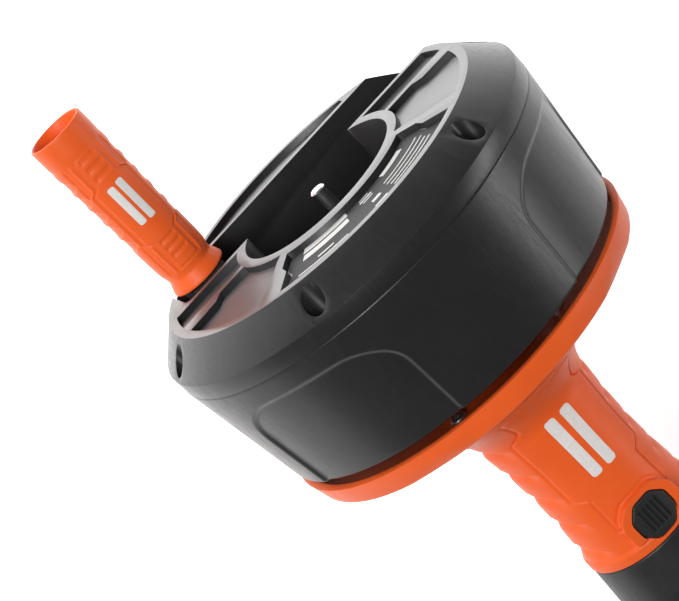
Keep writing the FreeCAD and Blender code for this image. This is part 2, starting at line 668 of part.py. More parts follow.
def make_hub_tube():
    body = fuse([rod(HUB_R, HUB_FLANGE_X, HUB_END_X),
                 rod(HUB_FLANGE_R, HUB_FLANGE_X, HUB_FLANGE_X + HUB_FLANGE)])
    groove = rod(HUB_R + OVERRUN, RING_X, RING_X + RING_THICK + SEAT_CLEAR).cut(
        rod(HUB_R - RING_DEPTH, RING_X, RING_X + RING_THICK + OVERRUN))
    cuts = [rod(HUB_BORE_R, HUB_FLANGE_X - OVERRUN, HUB_END_X + OVERRUN), groove]
    for turn in around(HUB_SCREWS):
        y, z = on_circle(HUB_SCREW_CIRCLE_R, turn)
        cuts.append(rod(HUB_SCREW_R + SEAT_CLEAR, HUB_FLANGE_X - OVERRUN, DRUM_X, y, z))
    return body.cut(cuts)


def make_hub_screws():
    screws = []
    for turn in around(HUB_SCREWS):
        y, z = on_circle(HUB_SCREW_CIRCLE_R, turn)
        screws.append(screw_x(HUB_SCREW_R, HUB_FLANGE + HUB_SCREW_LENGTH, SMALL_HEAD_R, SMALL_HEAD,
                              HUB_FLANGE_X, y, z))
    return Part.makeCompound(screws)


def make_retaining_ring():
    ring = tube(RING_R, HUB_R - RING_DEPTH + SEAT_CLEAR, RING_X, RING_X + RING_THICK)
    gap = block(RING_X - OVERRUN, RING_X + RING_THICK + OVERRUN, -RING_SPLIT / 2, RING_SPLIT / 2,
                0, RING_R + OVERRUN)
    return ring.cut(gap)


def make_cable_funnel():
    seat = HUB_BORE_R - SEAT_CLEAR
    end = FUNNEL_X + FUNNEL_LENGTH
    throat = HUB_FLANGE_X + FUNNEL_THROAT
    return turned([(FUNNEL_X, FUNNEL_MOUTH_R), (HUB_FLANGE_X, seat), (end, seat), (end, FUNNEL_BORE_R),
                   (throat, FUNNEL_BORE_R), (FUNNEL_X, FUNNEL_MOUTH_R - FUNNEL_WALL)])


def make_drive_shank():
    tip = SHANK_TIP_X
    head_x = PLATE_X + PLATE_THICK
    head_end = head_x + SHANK_HEAD
    neck_x = PIT_DEPTH - SHANK_NECK
    return turned([(tip, 0), (tip, SHANK_R - SHANK_CHAMFER), (tip + SHANK_CHAMFER, SHANK_R),
                   (neck_x, SHANK_R), (neck_x, SHANK_NECK_R), (PIT_DEPTH, SHANK_NECK_R),
                   (PIT_DEPTH, SHANK_ROOT_R), (head_x, SHANK_ROOT_R), (head_x, SHANK_HEAD_R),
                   (head_end, SHANK_HEAD_R), (head_end, 0)])


def plate_screw_places():
    return [on_circle(PLATE_SCREW_CIRCLE_R, turn) for turn in around(HUB_SCREWS, 180.0 / HUB_SCREWS)]


def make_shank_plate():
    start = PLATE_X - OVERRUN
    end = PLATE_X + PLATE_THICK + OVERRUN
    cuts = [rod(SHANK_ROOT_R + SEAT_CLEAR, start, end)]
    for y, z in plate_screw_places():
        cuts.append(rod(HUB_SCREW_R + SEAT_CLEAR, start, end, y, z))
    return rod(PLATE_R, PLATE_X, PLATE_X + PLATE_THICK).cut(cuts)


def make_shank_screws():
    length = PLATE_THICK + PIT_FLOOR - PLATE_SCREW_SHORT
    screws = []
    for y, z in plate_screw_places():
        screws.append(screw_x(HUB_SCREW_R, length, SMALL_HEAD_R, SMALL_HEAD, PLATE_X + PLATE_THICK,
                              y, z, way=-1))
    return Part.makeCompound(screws)


# ---------------------------------------------------------------- cable
def cable_route():
    """Centre line of the whole cable: wound half turns, the lead to the axis, and the straight run
    through the hub and the nose. Each half turn is a half circle that starts and ends along Z, so
    the turns join smoothly."""
    axis_x = LEAD_X + LEAD_BEND_R
    edges = []
    radius = COIL_R
    x = COIL_X
    side = 1
    way = 1
    count = 0
    length = 0.0
    here = V(x, side * radius, 0)
    while length + lead_length(radius) < CABLE_LENGTH:
        if count == COIL_HALF_TURNS:
            radius -= COIL_PITCH
            way = -way
            count = 0
        else:
            x += way * COIL_PITCH / 2
            count += 1
        side = -side
        there = V(x, side * radius, 0)
        edges.append(half_circle(here, there, -side))
        length += edges[-1].Length
        here = there
    side = -side
    there = V(LEAD_X, side * (radius - LEAD_DROP), 0)
    edges.append(half_circle(here, there, -side))
    here = there + V(0, 0, side * LEAD_BEND_R)
    edges.append(Part.LineSegment(there, here).toShape())
    inner = V(LEAD_X, 0, side * LEAD_BEND_R)
    edges.append(half_circle(here, inner, side))
    half_way = LEAD_BEND_R * math.sqrt(0.5)
    bend_mid = V(axis_x - half_way, 0, side * (LEAD_BEND_R - half_way))
    on_axis = V(axis_x, 0, 0)
    edges.append(Part.Arc(inner, bend_mid, on_axis).toShape())
    edges.append(Part.LineSegment(on_axis, V(BULB_X, 0, 0)).toShape())
    return edges


def lead_length(radius):
    """Length of what follows the wound turns, from a last turn of that radius to the bulb."""
    start = radius - LEAD_DROP
    turns = math.pi * (radius + start) / 2 + math.pi * start / 2
    bends = LEAD_BEND_R + math.pi / 2 * LEAD_BEND_R
    return turns + bends + BULB_X - LEAD_X - LEAD_BEND_R


def half_circle(start, end, side):
    """Half circle from start to end, bulging to +Z or -Z."""
    middle = (start + end) * 0.5
    apex = middle + V(0, 0, side * start.distanceToPoint(end) / 2)
    return Part.Arc(start, apex, end).toShape()


def make_cable():
    edges = cable_route()
    wire = Part.Wire(edges)
    start = edges[0].valueAt(edges[0].FirstParameter)
    tangent = edges[0].tangentAt(edges[0].FirstParameter)
    profile = Part.Wire(Part.makeCircle(CABLE_R, start, tangent))
    cable = wire.makePipeShell([profile], True, False)
    print("cable length", round(wire.Length), "volume ratio",
          round(cable.Volume / (math.pi * CABLE_R ** 2 * wire.Length), 4))
    return cable


def make_cable_clip():
    """Saddle that holds the cable's inner end to the shell's wall."""
    rear = COIL_X - CABLE_R - FACE_GAP
    front = COIL_X + CABLE_R
    body = block(rear - CLIP_WALL, front, COIL_R - CLIP_HOOK, DRUM_R, -CLIP_HALF, CLIP_HALF)
    inside = rod(shell_radius(front) - WALL - FACE_GAP, 0, DRUM_X)
    boss = rod(SHELL_BOSS_R + FACE_GAP, SEAM_X, SHELL_BOSS_X + FACE_GAP, SCREW_CIRCLE_R, 0)
    passage = block(rear, DRUM_X, 0, COIL_R + CABLE_R + FACE_GAP, -DRUM_R, DRUM_R)
    return body.common(inside).cut([boss, passage])


def make_bulb_head():
    swell = [(BULB_X + BULB_LENGTH * along, CABLE_R + BULB_OUT * out) for along, out in BULB_SHAPE]
    return turned([(BULB_X, 0), (BULB_X, CABLE_R)] + swell
                  + [(BULB_END_X, CABLE_R * BULB_TIP), (BULB_END_X, 0)])


# ---------------------------------------------------------------- crank
def make_pivot_pin():
    low = TROUGH_FAR_Z - RIB_WALL - PIVOT_HEAD
    high = TROUGH_NEAR_Z + RIB_WALL + PIVOT_HEAD
    pin = post(PIVOT_PIN_R, PIVOT_X, CRANK_Y, low, high)
    return fuse([pin, post(PIVOT_HEAD_R, PIVOT_X, CRANK_Y, low - PIVOT_HEAD, low),
                 post(PIVOT_HEAD_R, PIVOT_X, CRANK_Y, high, high + PIVOT_HEAD)])


def make_crank_yoke():
    neck_half = YOKE_HALF - YOKE_NECK_INSET
    hub = post(YOKE_HUB_R, PIVOT_X, CRANK_Y, TROUGH_Z - YOKE_HALF, TROUGH_Z + YOKE_HALF)
    neck = block(FACE_GAP, PIVOT_X, CRANK_Y - YOKE_NECK_HALF, CRANK_Y + YOKE_NECK_HALF,
                 TROUGH_Z - neck_half, TROUGH_Z + neck_half)
    edges = [e for e in neck.Edges if e.BoundBox.XLength > PIVOT_X / 2]
    neck = neck.makeFillet(YOKE_NECK_ROUND, edges)
    flat_x = PIVOT_X + YOKE_HUB_R - DETENT_FLAT
    deployed = block(flat_x, DRUM_X, CRANK_Y - YOKE_HUB_R, CRANK_Y + YOKE_HUB_R, -DRUM_R, 0)
    flat_y = CRANK_Y - YOKE_HUB_R + DETENT_FLAT
    folded = block(0, DRUM_X, flat_y - YOKE_HUB_R, flat_y, -DRUM_R, 0)
    pin_hole = post(PIVOT_PIN_R + RUN_CLEAR, PIVOT_X, CRANK_Y, -DRUM_R, 0)
    seat = rod(SPINDLE_R + SEAT_CLEAR, -OVERRUN, SPINDLE_ROOT, CRANK_Y, TROUGH_Z)
    return fuse([hub, neck]).cut([deployed, folded, pin_hole, seat])


def make_crank_spindle():
    tip = -SLEEVE_BEARING - FACE_GAP
    body = rod(SPINDLE_R, tip, SPINDLE_ROOT, CRANK_Y, TROUGH_Z)
    return body.cut(rod(END_SCREW_R + SEAT_CLEAR, tip - OVERRUN, tip + END_SCREW_LENGTH, CRANK_Y, TROUGH_Z))


def make_sleeve_washer():
    face = -SLEEVE_BEARING - FACE_GAP
    return tube(END_WASHER_R, END_SCREW_R + SEAT_CLEAR, face - END_WASHER, face, CRANK_Y, TROUGH_Z)


def make_sleeve_screw():
    face = -SLEEVE_BEARING - FACE_GAP - END_WASHER
    return screw_x(END_SCREW_R, END_SCREW_LENGTH, END_SCREW_HEAD_R, END_SCREW_HEAD,
                   face, CRANK_Y, TROUGH_Z)


def make_crank_sleeve():
    bore_r = SPINDLE_R + RUN_CLEAR
    profile = [(-FACE_GAP, bore_r), (-FACE_GAP, SLEEVE_COLLAR_R - SLEEVE_EDGE),
               (-FACE_GAP - SLEEVE_EDGE, SLEEVE_COLLAR_R)]
    profile += [(-out, r) for out, r in SLEEVE_SHAPE]
    profile += [(CRANK_MOUTH_X + SLEEVE_END_LAND, SLEEVE_END_R),
                (CRANK_MOUTH_X + SLEEVE_END_TAPER, SLEEVE_END_R),
                (CRANK_MOUTH_X, SLEEVE_MOUTH_R), (CRANK_MOUTH_X, SLEEVE_BORE_R + SLEEVE_MOUTH_WIDEN),
                (CRANK_MOUTH_X + SLEEVE_MOUTH_LEAD, SLEEVE_BORE_R),
                (-SLEEVE_BEARING, SLEEVE_BORE_R), (-SLEEVE_BEARING, bore_r)]
    sleeve = turned(profile)
    sleeve.translate(V(0, CRANK_Y, TROUGH_Z))
    return sleeve


def make_detent_leaf():
    """Arched spring strip on the trough's floor that bears on the yoke's flats."""
    crest = PIVOT_X + YOKE_HUB_R + SIDE_CLEAR / 2
    foot = TROUGH_DEPTH - LEAF_THICK
    tab = 2 * SMALL_HEAD_R
    end = CRANK_Y + LEAF_HALF
    top = [(foot, CRANK_Y - LEAF_HALF), (crest, CRANK_Y - LEAF_CREST_HALF),
           (crest, CRANK_Y + LEAF_CREST_HALF), (foot, end), (foot, end + tab)]
    under = [(x + LEAF_THICK, y) for x, y in top[::-1]]
    strip = prism_z(top + under, TROUGH_Z - LEAF_WIDTH / 2, TROUGH_Z + LEAF_WIDTH / 2)
    hole = rod(HUB_SCREW_R + SEAT_CLEAR, 0, DRUM_X, CRANK_Y + LEAF_HALF + SMALL_HEAD_R, TROUGH_Z)
    return strip.cut(hole)


def make_detent_screw():
    return screw_x(HUB_SCREW_R, RIB_WALL + LEAF_THICK, SMALL_HEAD_R, LEAF_HEAD, TROUGH_DEPTH - LEAF_THICK,
                   CRANK_Y + LEAF_HALF + SMALL_HEAD_R, TROUGH_Z)


# ---------------------------------------------------------------- grip side
def make_rear_bush():
    end = FLANGE_SEAT_X
    return tube(BUSH_R - SEAT_CLEAR, HUB_R + RUN_CLEAR, end - REAR_BUSH_LENGTH, end)


def make_front_bush():
    return tube(BUSH_R - SEAT_CLEAR, HUB_R + RUN_CLEAR, FRONT_BUSH_X, FRONT_BUSH_X + FRONT_BUSH_LENGTH)


def make_thrust_washer():
    start = DRUM_X + RUN_CLEAR
    return tube(WASHER_R, HUB_R + FACE_GAP, start, start + WASHER_THICK)


def make_flange_plate():
    hub_x = DRUM_X + WASHER_THICK + 2 * RUN_CLEAR
    wall = FLANGE_WALL
    inner_x = FLANGE_SEAT_X - wall
    shoulder_x = FLANGE_FRONT_X + FLANGE_SHOULDER_X
    shoulder_r = FLANGE_FRONT_R - FLANGE_SHOULDER_R
    outside = [(FLANGE_X, FLANGE_REAR_R), (FLANGE_FRONT_X - FLANGE_EDGE, FLANGE_FRONT_R),
               (FLANGE_FRONT_X, FLANGE_FRONT_R - FLANGE_EDGE), (shoulder_x, shoulder_r),
               (FLANGE_SEAT_X, FLANGE_SEAT_R + FLANGE_SEAT_BEVEL), (FLANGE_SEAT_X, BUSH_R)]
    inside = [(hub_x, BUSH_R), (hub_x, FLANGE_HUB_R), (inner_x, FLANGE_HUB_R), (inner_x, FLANGE_SEAT_R),
              (shoulder_x - wall, shoulder_r - FLANGE_EDGE), (FLANGE_FRONT_X - wall, FLANGE_FRONT_R - wall),
              (FLANGE_X, FLANGE_REAR_R - wall)]
    cuts = [block(0, HUB_END_X, -DRUM_R, DRUM_R, -DRUM_R, -REST_FLAT)]
    corner = FLANGE_REAR_R + OVERRUN
    end = FLANGE_FRONT_X + OVERRUN
    wedge = [(FLANGE_X + FACET_START, corner), (end, corner), (end, FLANGE_FRONT_R - FACET_DROP)]
    outline = [V(x, -DRUM_R / 2, z) for x, z in wedge]
    facet = Part.Face(Part.makePolygon(outline + outline[:1])).extrude(V(0, DRUM_R, 0))
    for turn in (FACET_TURN, -FACET_TURN, 180 + FACET_TURN, 180 - FACET_TURN):
        cuts.append(about_x(facet, turn))
    for y, z in flange_screw_places():
        cuts.append(rod(FLANGE_SCREW_R + SEAT_CLEAR, 0, FLANGE_SEAT_X + OVERRUN, y, z))
    return turned(outside + inside).cut(cuts)


def flange_screw_places():
    return [on_circle(FLANGE_SCREW_CIRCLE_R, turn) for turn in around(FLANGE_SCREWS, FLANGE_SCREW_TURN)]


def make_flange_screws():
    screws = []
    for y, z in flange_screw_places():
        screws.append(screw_x(FLANGE_SCREW_R, FLANGE_SCREW_LENGTH, SMALL_HEAD_R, SMALL_HEAD,
                              FLANGE_SEAT_X - FLANGE_WALL, y, z))
    return Part.makeCompound(screws)


def grip_profile(inset=0.0):
    """The grip's outer line from its root to its front end, (x, radius), drawn in by inset."""
    root = FLANGE_SEAT_X
    bevel_x = root + GRIP_ROOT + GRIP_ROOT_BEVEL
    bevel_r = GRIP_ROOT_R - GRIP_ROOT_BEVEL
    line = [(root, GRIP_ROOT_R), (root + GRIP_ROOT, GRIP_ROOT_R), (bevel_x, bevel_r)]
    for i in range(1, FLARE_STEPS + 1):
        t = i / FLARE_STEPS
        line.append((bevel_x + (NECK_X - bevel_x) * t, NECK_R + (bevel_r - NECK_R) * (1 - t) ** FLARE_POWER))
    for i in range(1, WAIST_STEPS):
        x = NECK_X + (COLLAR_X - NECK_X) * i / WAIST_STEPS
        line.append((x, waist_radius(x)))
    line += [(COLLAR_X, COLLAR_R - COLLAR_EDGE), (COLLAR_X + COLLAR_RAMP, COLLAR_R),
             (GRIP_END_X - COLLAR_EDGE, COLLAR_R), (GRIP_END_X, COLLAR_R - COLLAR_EDGE)]
    return [(x, r - inset) for x, r in line]


def waist_radius(x):
    return WAIST_R + (NECK_R - WAIST_R) * ((x - WAIST_X) / (WAIST_X - NECK_X)) ** 2


def grip_envelope(inset=0.0):
    return turned([(FLANGE_SEAT_X, 0)] + grip_profile(inset) + [(GRIP_END_X, 0)])


def grip_hollow():
    ledge_x = FLANGE_SEAT_X + GRIP_ROOT_WALL
    ledge_r = FLANGE_SCREW_CIRCLE_R - GRIP_ROOT_LEDGE
    root = FLANGE_SEAT_X - OVERRUN
    end = GRIP_END_X + OVERRUN
    inner = [(x, min(r, ledge_r)) for x, r in grip_profile(GRIP_WALL) if x > ledge_x]
    return turned([(root, 0), (root, ledge_r), (ledge_x, ledge_r)] + inner + [(end, inner[-1][1]), (end, 0)])


def grip_screw_places():
    rear_y = HUB_R + REAR_SCREW_GAP + GRIP_SCREW_BOSS_R
    front_y = GUIDE_R + FRONT_SCREW_GAP + GRIP_SCREW_BOSS_R
    places = []
    for side in (-1, 1):
        places.append((FLANGE_SEAT_X + REAR_SCREW_AT, side * rear_y))
        places.append((FLANGE_SEAT_X + FRONT_SCREW_AT, side * front_y))
    return places


def plaque_outline():
    right = [(PLAQUE_AT, PLAQUE_NARROW), (PLAQUE_WIDE_AT, PLAQUE_NARROW),
             (PLAQUE_WIDE_AT + PLAQUE_STEP, PLAQUE_WIDE), (PLAQUE_NARROW_AT, PLAQUE_WIDE),
             (PLAQUE_NARROW_AT + PLAQUE_STEP, PLAQUE_NARROW), (PLAQUE_END_AT, PLAQUE_NARROW)]
    both = right + [(x, -y) for x, y in right[::-1]]
    return [(FLANGE_SEAT_X + x, y) for x, y in both]


def button_outline(grow):
    half_x = BUTTON_LENGTH / 2 + grow
    half_y = BUTTON_WIDTH / 2 + grow
    corner = BUTTON_CORNER + grow * 0.4
    right = [(half_x, half_y - corner), (half_x - corner, half_y), (corner - half_x, half_y),
             (-half_x, half_y - corner)]
    points = right + [(x, -y) for x, y in right[::-1]]
    return [(BUTTON_X + x, y) for x, y in points]


def grip_body():
    """Both halves of the grip as one hollow body, before it is parted."""
    envelope = grip_envelope()
    hollow = grip_hollow()
    pieces = [envelope.cut(hollow)]
    raised = grip_envelope(-PLAQUE_HEIGHT).common(prism_z(plaque_outline(), 0, DRUM_R))
    pieces.append(raised.cut(hollow))
    pad = prism_z(button_outline(BUTTON_RIM), NECK_R / 2, BUTTON_RIM_Z)
    pieces.append(pad.cut(rod(WAIST_R - GRIP_WALL, WAIST_X, GRIP_END_X)))
    web_r = WAIST_R - GRIP_WALL / 2
    bush_web = FRONT_BUSH_X + FACE_GAP
    guide_web = GUIDE_X + GUIDE_WEB_AT
    pieces.append(tube(web_r, BUSH_R, bush_web, bush_web + FRONT_BUSH_LENGTH - 2 * FACE_GAP))
    pieces.append(tube(web_r, GUIDE_R + SEAT_CLEAR, guide_web, guide_web + WEB))
    for x, y in grip_screw_places():
        pieces.append(post(GRIP_SCREW_BOSS_R, x, y, -DRUM_R, DRUM_R).common(envelope))
    scallops = []
    for i in range(SCALLOPS):
        x = FLANGE_SEAT_X + SCALLOP_AT + (i + 0.5) * SCALLOP_PITCH
        y = waist_radius(x) - SCALLOP_DEPTH + SCALLOP_R
        scallops.append(post(SCALLOP_R, x, y, -NECK_R, NECK_R))
        scallops.append(post(SCALLOP_R, x, -y, -NECK_R, NECK_R))
    body = fuse(pieces).cut(scallops)
    return body.common(rod(DRUM_R, FLANGE_SEAT_X, GRIP_END_X))


def nose_seat():
    """Room for the nose's spigot inside the front end of the grip."""
    return rod(SPIGOT_R + SEAT_CLEAR, GRIP_END_X - NOSE_SPIGOT - FACE_GAP, GRIP_END_X + OVERRUN)


def flange_screw_hole(y, z):
    """Hole in the grip's root for a screw that comes through the flange."""
    tip = FLANGE_SEAT_X - FLANGE_WALL + FLANGE_SCREW_LENGTH
    return rod(FLANGE_SCREW_R + SEAT_CLEAR, 0, tip + FLANGE_SCREW_END, y, z)


def make_grip_top(body):
    half = body.common(block(0, BULB_END_X, -DRUM_R, DRUM_R, 0, DRUM_R))
    cuts = [prism_z(button_outline(FACE_GAP), 0, DRUM_R), nose_seat()]
    for x, y in grip_screw_places():
        cuts.append(post(GRIP_SCREW_R + SEAT_CLEAR, x, y, -OVERRUN, GRIP_SCREW_TIP + GRIP_SCREW_END))
    cuts += [flange_screw_hole(y, z) for y, z in flange_screw_places() if z > 0]
    return half.cut(cuts)


def make_grip_bottom(body):
    half = body.common(block(0, BULB_END_X, -DRUM_R, DRUM_R, -DRUM_R, 0))
    cuts = [nose_seat()]
    for x, y in grip_screw_places():
        cuts.append(post(GRIP_SCREW_R + SEAT_CLEAR, x, y, -DRUM_R, OVERRUN))
        cuts.append(post(GRIP_HEAD_R + FACE_GAP, x, y, -DRUM_R, -GRIP_SCREW_SEAT))
    for x, y in nose_screw_places():
        cuts.append(post(NOSE_SCREW_R + SEAT_CLEAR, x, y, -DRUM_R, 0))
        cuts.append(post(NOSE_HEAD_R + FACE_GAP, x, y, -DRUM_R, NOSE_SCREW_Z))
    cuts += [flange_screw_hole(y, z) for y, z in flange_screw_places() if z < 0]
    return half.cut(cuts)


def screw_up(r, length, head_r, head, x, y, z):
    """A pan-head screw that points up, with its head's seat at z."""
    shank = post(r, x, y, z, z + length)
    top = post(head_r, x, y, z - head, z)
    rim = [e for e in top.Edges if e.BoundBox.ZMax < z - head + HAIR]
    top = top.makeFillet(head * HEAD_ROUND, rim)
    socket = post(head_r * SOCKET, x, y, z - head, z - head * (1 - SOCKET_DEPTH))
    return shank.fuse(top).removeSplitter().cut(socket)


def make_grip_screws():
    screws = []
    for x, y in grip_screw_places():
        screws.append(screw_up(GRIP_SCREW_R, GRIP_SCREW_SEAT + GRIP_SCREW_TIP, GRIP_HEAD_R, GRIP_HEAD,
                               x, y, -GRIP_SCREW_SEAT))
    return Part.makeCompound(screws)


def nose_screw_places():
    return [(NOSE_SCREW_X, -NOSE_SCREW_Y), (NOSE_SCREW_X, NOSE_SCREW_Y)]


def make_nose_screws():
    screws = []
    for x, y in nose_screw_places():
        screws.append(screw_up(NOSE_SCREW_R, NOSE_SCREW_LENGTH, NOSE_HEAD_R, NOSE_HEAD, x, y, NOSE_SCREW_Z))
    return Part.makeCompound(screws)


def make_nose_cap():
    """Front cap with a spigot in the grip, a central tube for the cable guide, and finger flutes."""
    wall = NOSE_WALL
    root = NOSE_X + NOSE_ROOT
    hollow_r = NOSE_REAR_R - 2 * wall
    dome_x = NOSE_TIP_X - NOSE_DOME
    outer = turned([(NOSE_X, 0), (NOSE_X, NOSE_REAR_R - NOSE_EDGE), (NOSE_X + NOSE_EDGE, NOSE_REAR_R),
                    (GRIP_END_X + NOSE_BULGE_AT, NOSE_BULGE_R),
                    (NOSE_SHOULDER_X, NOSE_BULGE_R - NOSE_SHOULDER_DROP),
                    (NOSE_SHOULDER_X + NOSE_SHOULDER_BEVEL, NOSE_BULGE_R - NOSE_SHOULDER_BEVEL),
                    (NOSE_TIP_X - NOSE_TIP_BEVEL_X, NOSE_TIP_R + NOSE_TIP_BEVEL),
                    (NOSE_TIP_X, NOSE_TIP_R), (NOSE_TIP_X, 0)])
    inner = turned([(NOSE_X - OVERRUN, 0), (NOSE_X - OVERRUN, hollow_r), (NOSE_SHOULDER_X, hollow_r),
                    (dome_x, FERRULE_R + wall), (dome_x, 0)])
    spigot = tube(SPIGOT_R, SPIGOT_R - wall, GRIP_END_X - NOSE_SPIGOT, root)
    join = tube(NOSE_REAR_R - NOSE_EDGE, SPIGOT_R - wall, NOSE_X, root)
    boss = rod(FERRULE_R + wall, FERRULE_X - wall, NOSE_TIP_X - NOSE_EDGE)
    body = fuse([outer.cut(inner), spigot, join, boss])
    flutes = []
    for turn in around(NOSE_FLUTES):
        y, z = on_circle(NOSE_BULGE_R + NOSE_FLUTE_R - NOSE_FLUTE_DEPTH, turn)
        flutes.append(rod(NOSE_FLUTE_R, NOSE_X + NOSE_FLUTE_AT, NOSE_TIP_X, y, z))
    cuts = [rod(FERRULE_R + SEAT_CLEAR, FERRULE_X, NOSE_TIP_X + OVERRUN),
            rod(GUIDE_R + SEAT_CLEAR, NOSE_X - NOSE_SPIGOT, FERRULE_X + OVERRUN)]
    for x, y in nose_screw_places():
        cuts.append(post(NOSE_SCREW_R + SEAT_CLEAR, x, y, -DRUM_R, 0))
    room = prism_z(button_outline(FACE_GAP), 0, DRUM_R)
    return body.cut(flutes + cuts + [room])


def make_nose_ferrule():
    end = FERRULE_END_X
    return turned([(FERRULE_X, GUIDE_BORE_R), (FERRULE_X, FERRULE_R), (end - FERRULE_BEVEL, FERRULE_R),
                   (end, FERRULE_R - FERRULE_BEVEL), (end, GUIDE_BORE_R + FERRULE_LEAD),
                   (end - FERRULE_LEAD, GUIDE_BORE_R)])


def make_cable_guide():
    """Fixed tube that carries the cable through the nose, with a window for the brake shoe and a
    seat for the button's spring."""
    end = FERRULE_X - FACE_GAP
    collar_x = GUIDE_X + GUIDE_COLLAR_AT
    body = fuse([rod(GUIDE_R, GUIDE_X, end), rod(GUIDE_R + GUIDE_COLLAR, collar_x, collar_x + WEB),
                 post(SPRING_R + SPRING_SEAT_RIM, BUTTON_X, 0, 0, GUIDE_R + SPRING_SEAT)])
    window = block(BUTTON_X - SHOE_LENGTH / 2 - FACE_GAP, BUTTON_X + SHOE_LENGTH / 2 + FACE_GAP,
                   -SHOE_WIDTH / 2 - FACE_GAP, SHOE_WIDTH / 2 + FACE_GAP, 0, DRUM_R)
    return body.cut([rod(GUIDE_BORE_R, GUIDE_X - OVERRUN, end + OVERRUN), window])


def shoe_bottom():
    return CABLE_R + BUTTON_TRAVEL + FACE_GAP


def make_button():
    skirt_z = BUTTON_TOP_Z - BUTTON_SKIRT
    cap = prism_z(button_outline(0), skirt_z, BUTTON_TOP_Z)
    cap = cap.common(rod(BUTTON_TOP_Z + BUTTON_CROWN, 0, NOSE_TIP_X))
    grooves = []
    span = BUTTON_WIDTH - 2 * BUTTON_CORNER
    reach = BUTTON_LENGTH / 2 - BUTTON_GROOVE_END
    for i in range(BUTTON_RIBS):
        y = span * i / (BUTTON_RIBS - 1) - span / 2
        grooves.append(block(BUTTON_X - reach, BUTTON_X + reach, y - BUTTON_GROOVE / 2, y + BUTTON_GROOVE / 2,
                             BUTTON_TOP_Z - BUTTON_GROOVE_DEPTH, DRUM_R))
    hollow = post(BUTTON_WIDTH / 2 - BUTTON_WALL, BUTTON_X, 0, skirt_z - OVERRUN, BUTTON_TOP_Z - BUTTON_CAP)
    stem = post(STEM_R, BUTTON_X, 0, shoe_bottom() + SHOE_HEIGHT, BUTTON_TOP_Z - BUTTON_CAP / 2)
    return fuse([cap.cut(grooves + [hollow]), stem])


def make_brake_shoe():
    low = shoe_bottom()
    body = block(BUTTON_X - SHOE_LENGTH / 2, BUTTON_X + SHOE_LENGTH / 2, -SHOE_WIDTH / 2, SHOE_WIDTH / 2,
                 low - SHOE_LIP, low + SHOE_HEIGHT)
    groove = rod(CABLE_R + FACE_GAP, 0, BULB_END_X, 0, low - CABLE_R - FACE_GAP)
    return body.cut(groove)


def make_button_spring():
    """Coil spring standing between the guide's seat and the button."""
    low = GUIDE_R + SPRING_SEAT + SPRING_WIRE_R + RUN_CLEAR
    high = BUTTON_TOP_Z - BUTTON_CAP - SPRING_WIRE_R - RUN_CLEAR
    pitch = (high - low) / SPRING_TURNS
    helix = Part.makeHelix(pitch, high - low, SPRING_R)
    section = Part.Wire(Part.makeCircle(SPRING_WIRE_R, V(SPRING_R, 0, 0), V(0, 1, 0)))
    spring = Part.Wire(helix).makePipeShell([section], True, True)
    spring.translate(V(BUTTON_X, 0, low))
    return spring


# ---------------------------------------------------------------- build
os.makedirs("parts", exist_ok=True)

write("rear_cover", make_rear_cover())
write("label_plate", make_label_plate())
write("drum_shell", make_drum_shell())
write("cover_screws", make_cover_screws())
write("hub_tube", make_hub_tube())
write("hub_screws", make_hub_screws())
write("retaining_ring", make_retaining_ring())
write("cable_funnel", make_cable_funnel())
write("drive_shank", make_drive_shank())
write("shank_plate", make_shank_plate())
write("shank_screws", make_shank_screws())
write("cable", make_cable())
write("cable_clip", make_cable_clip())
write("bulb_head", make_bulb_head())

write("pivot_pin", make_pivot_pin())
write("detent_leaf", make_detent_leaf())
write("detent_screw", make_detent_screw())
write("crank_yoke", make_crank_yoke())
write("crank_spindle", make_crank_spindle())
write("sleeve_washer", make_sleeve_washer())
write("sleeve_screw", make_sleeve_screw())
write("crank_sleeve", make_crank_sleeve())

write("rear_bush", make_rear_bush())
write("front_bush", make_front_bush())
write("thrust_washer", make_thrust_washer())
write("flange_plate", make_flange_plate())
write("flange_screws", make_flange_screws())
grip = grip_body()
write("grip_top", make_grip_top(grip))
write("grip_bottom", make_grip_bottom(grip))
write("grip_screws", make_grip_screws())
write("nose_cap", make_nose_cap())
write("nose_screws", make_nose_screws())
write("nose_ferrule", make_nose_ferrule())
write("cable_guide", make_cable_guide())
write("thumb_button", make_button())
write("brake_shoe", make_brake_shoe())
write("button_spring", make_button_spring())
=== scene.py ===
import json
import math

import bmesh
import bpy
import numpy as np
from bpy.props import FloatProperty, FloatVectorProperty, IntProperty, PointerProperty
from bpy.types import Operator, Panel, PropertyGroup
from mathutils import Matrix, Vector


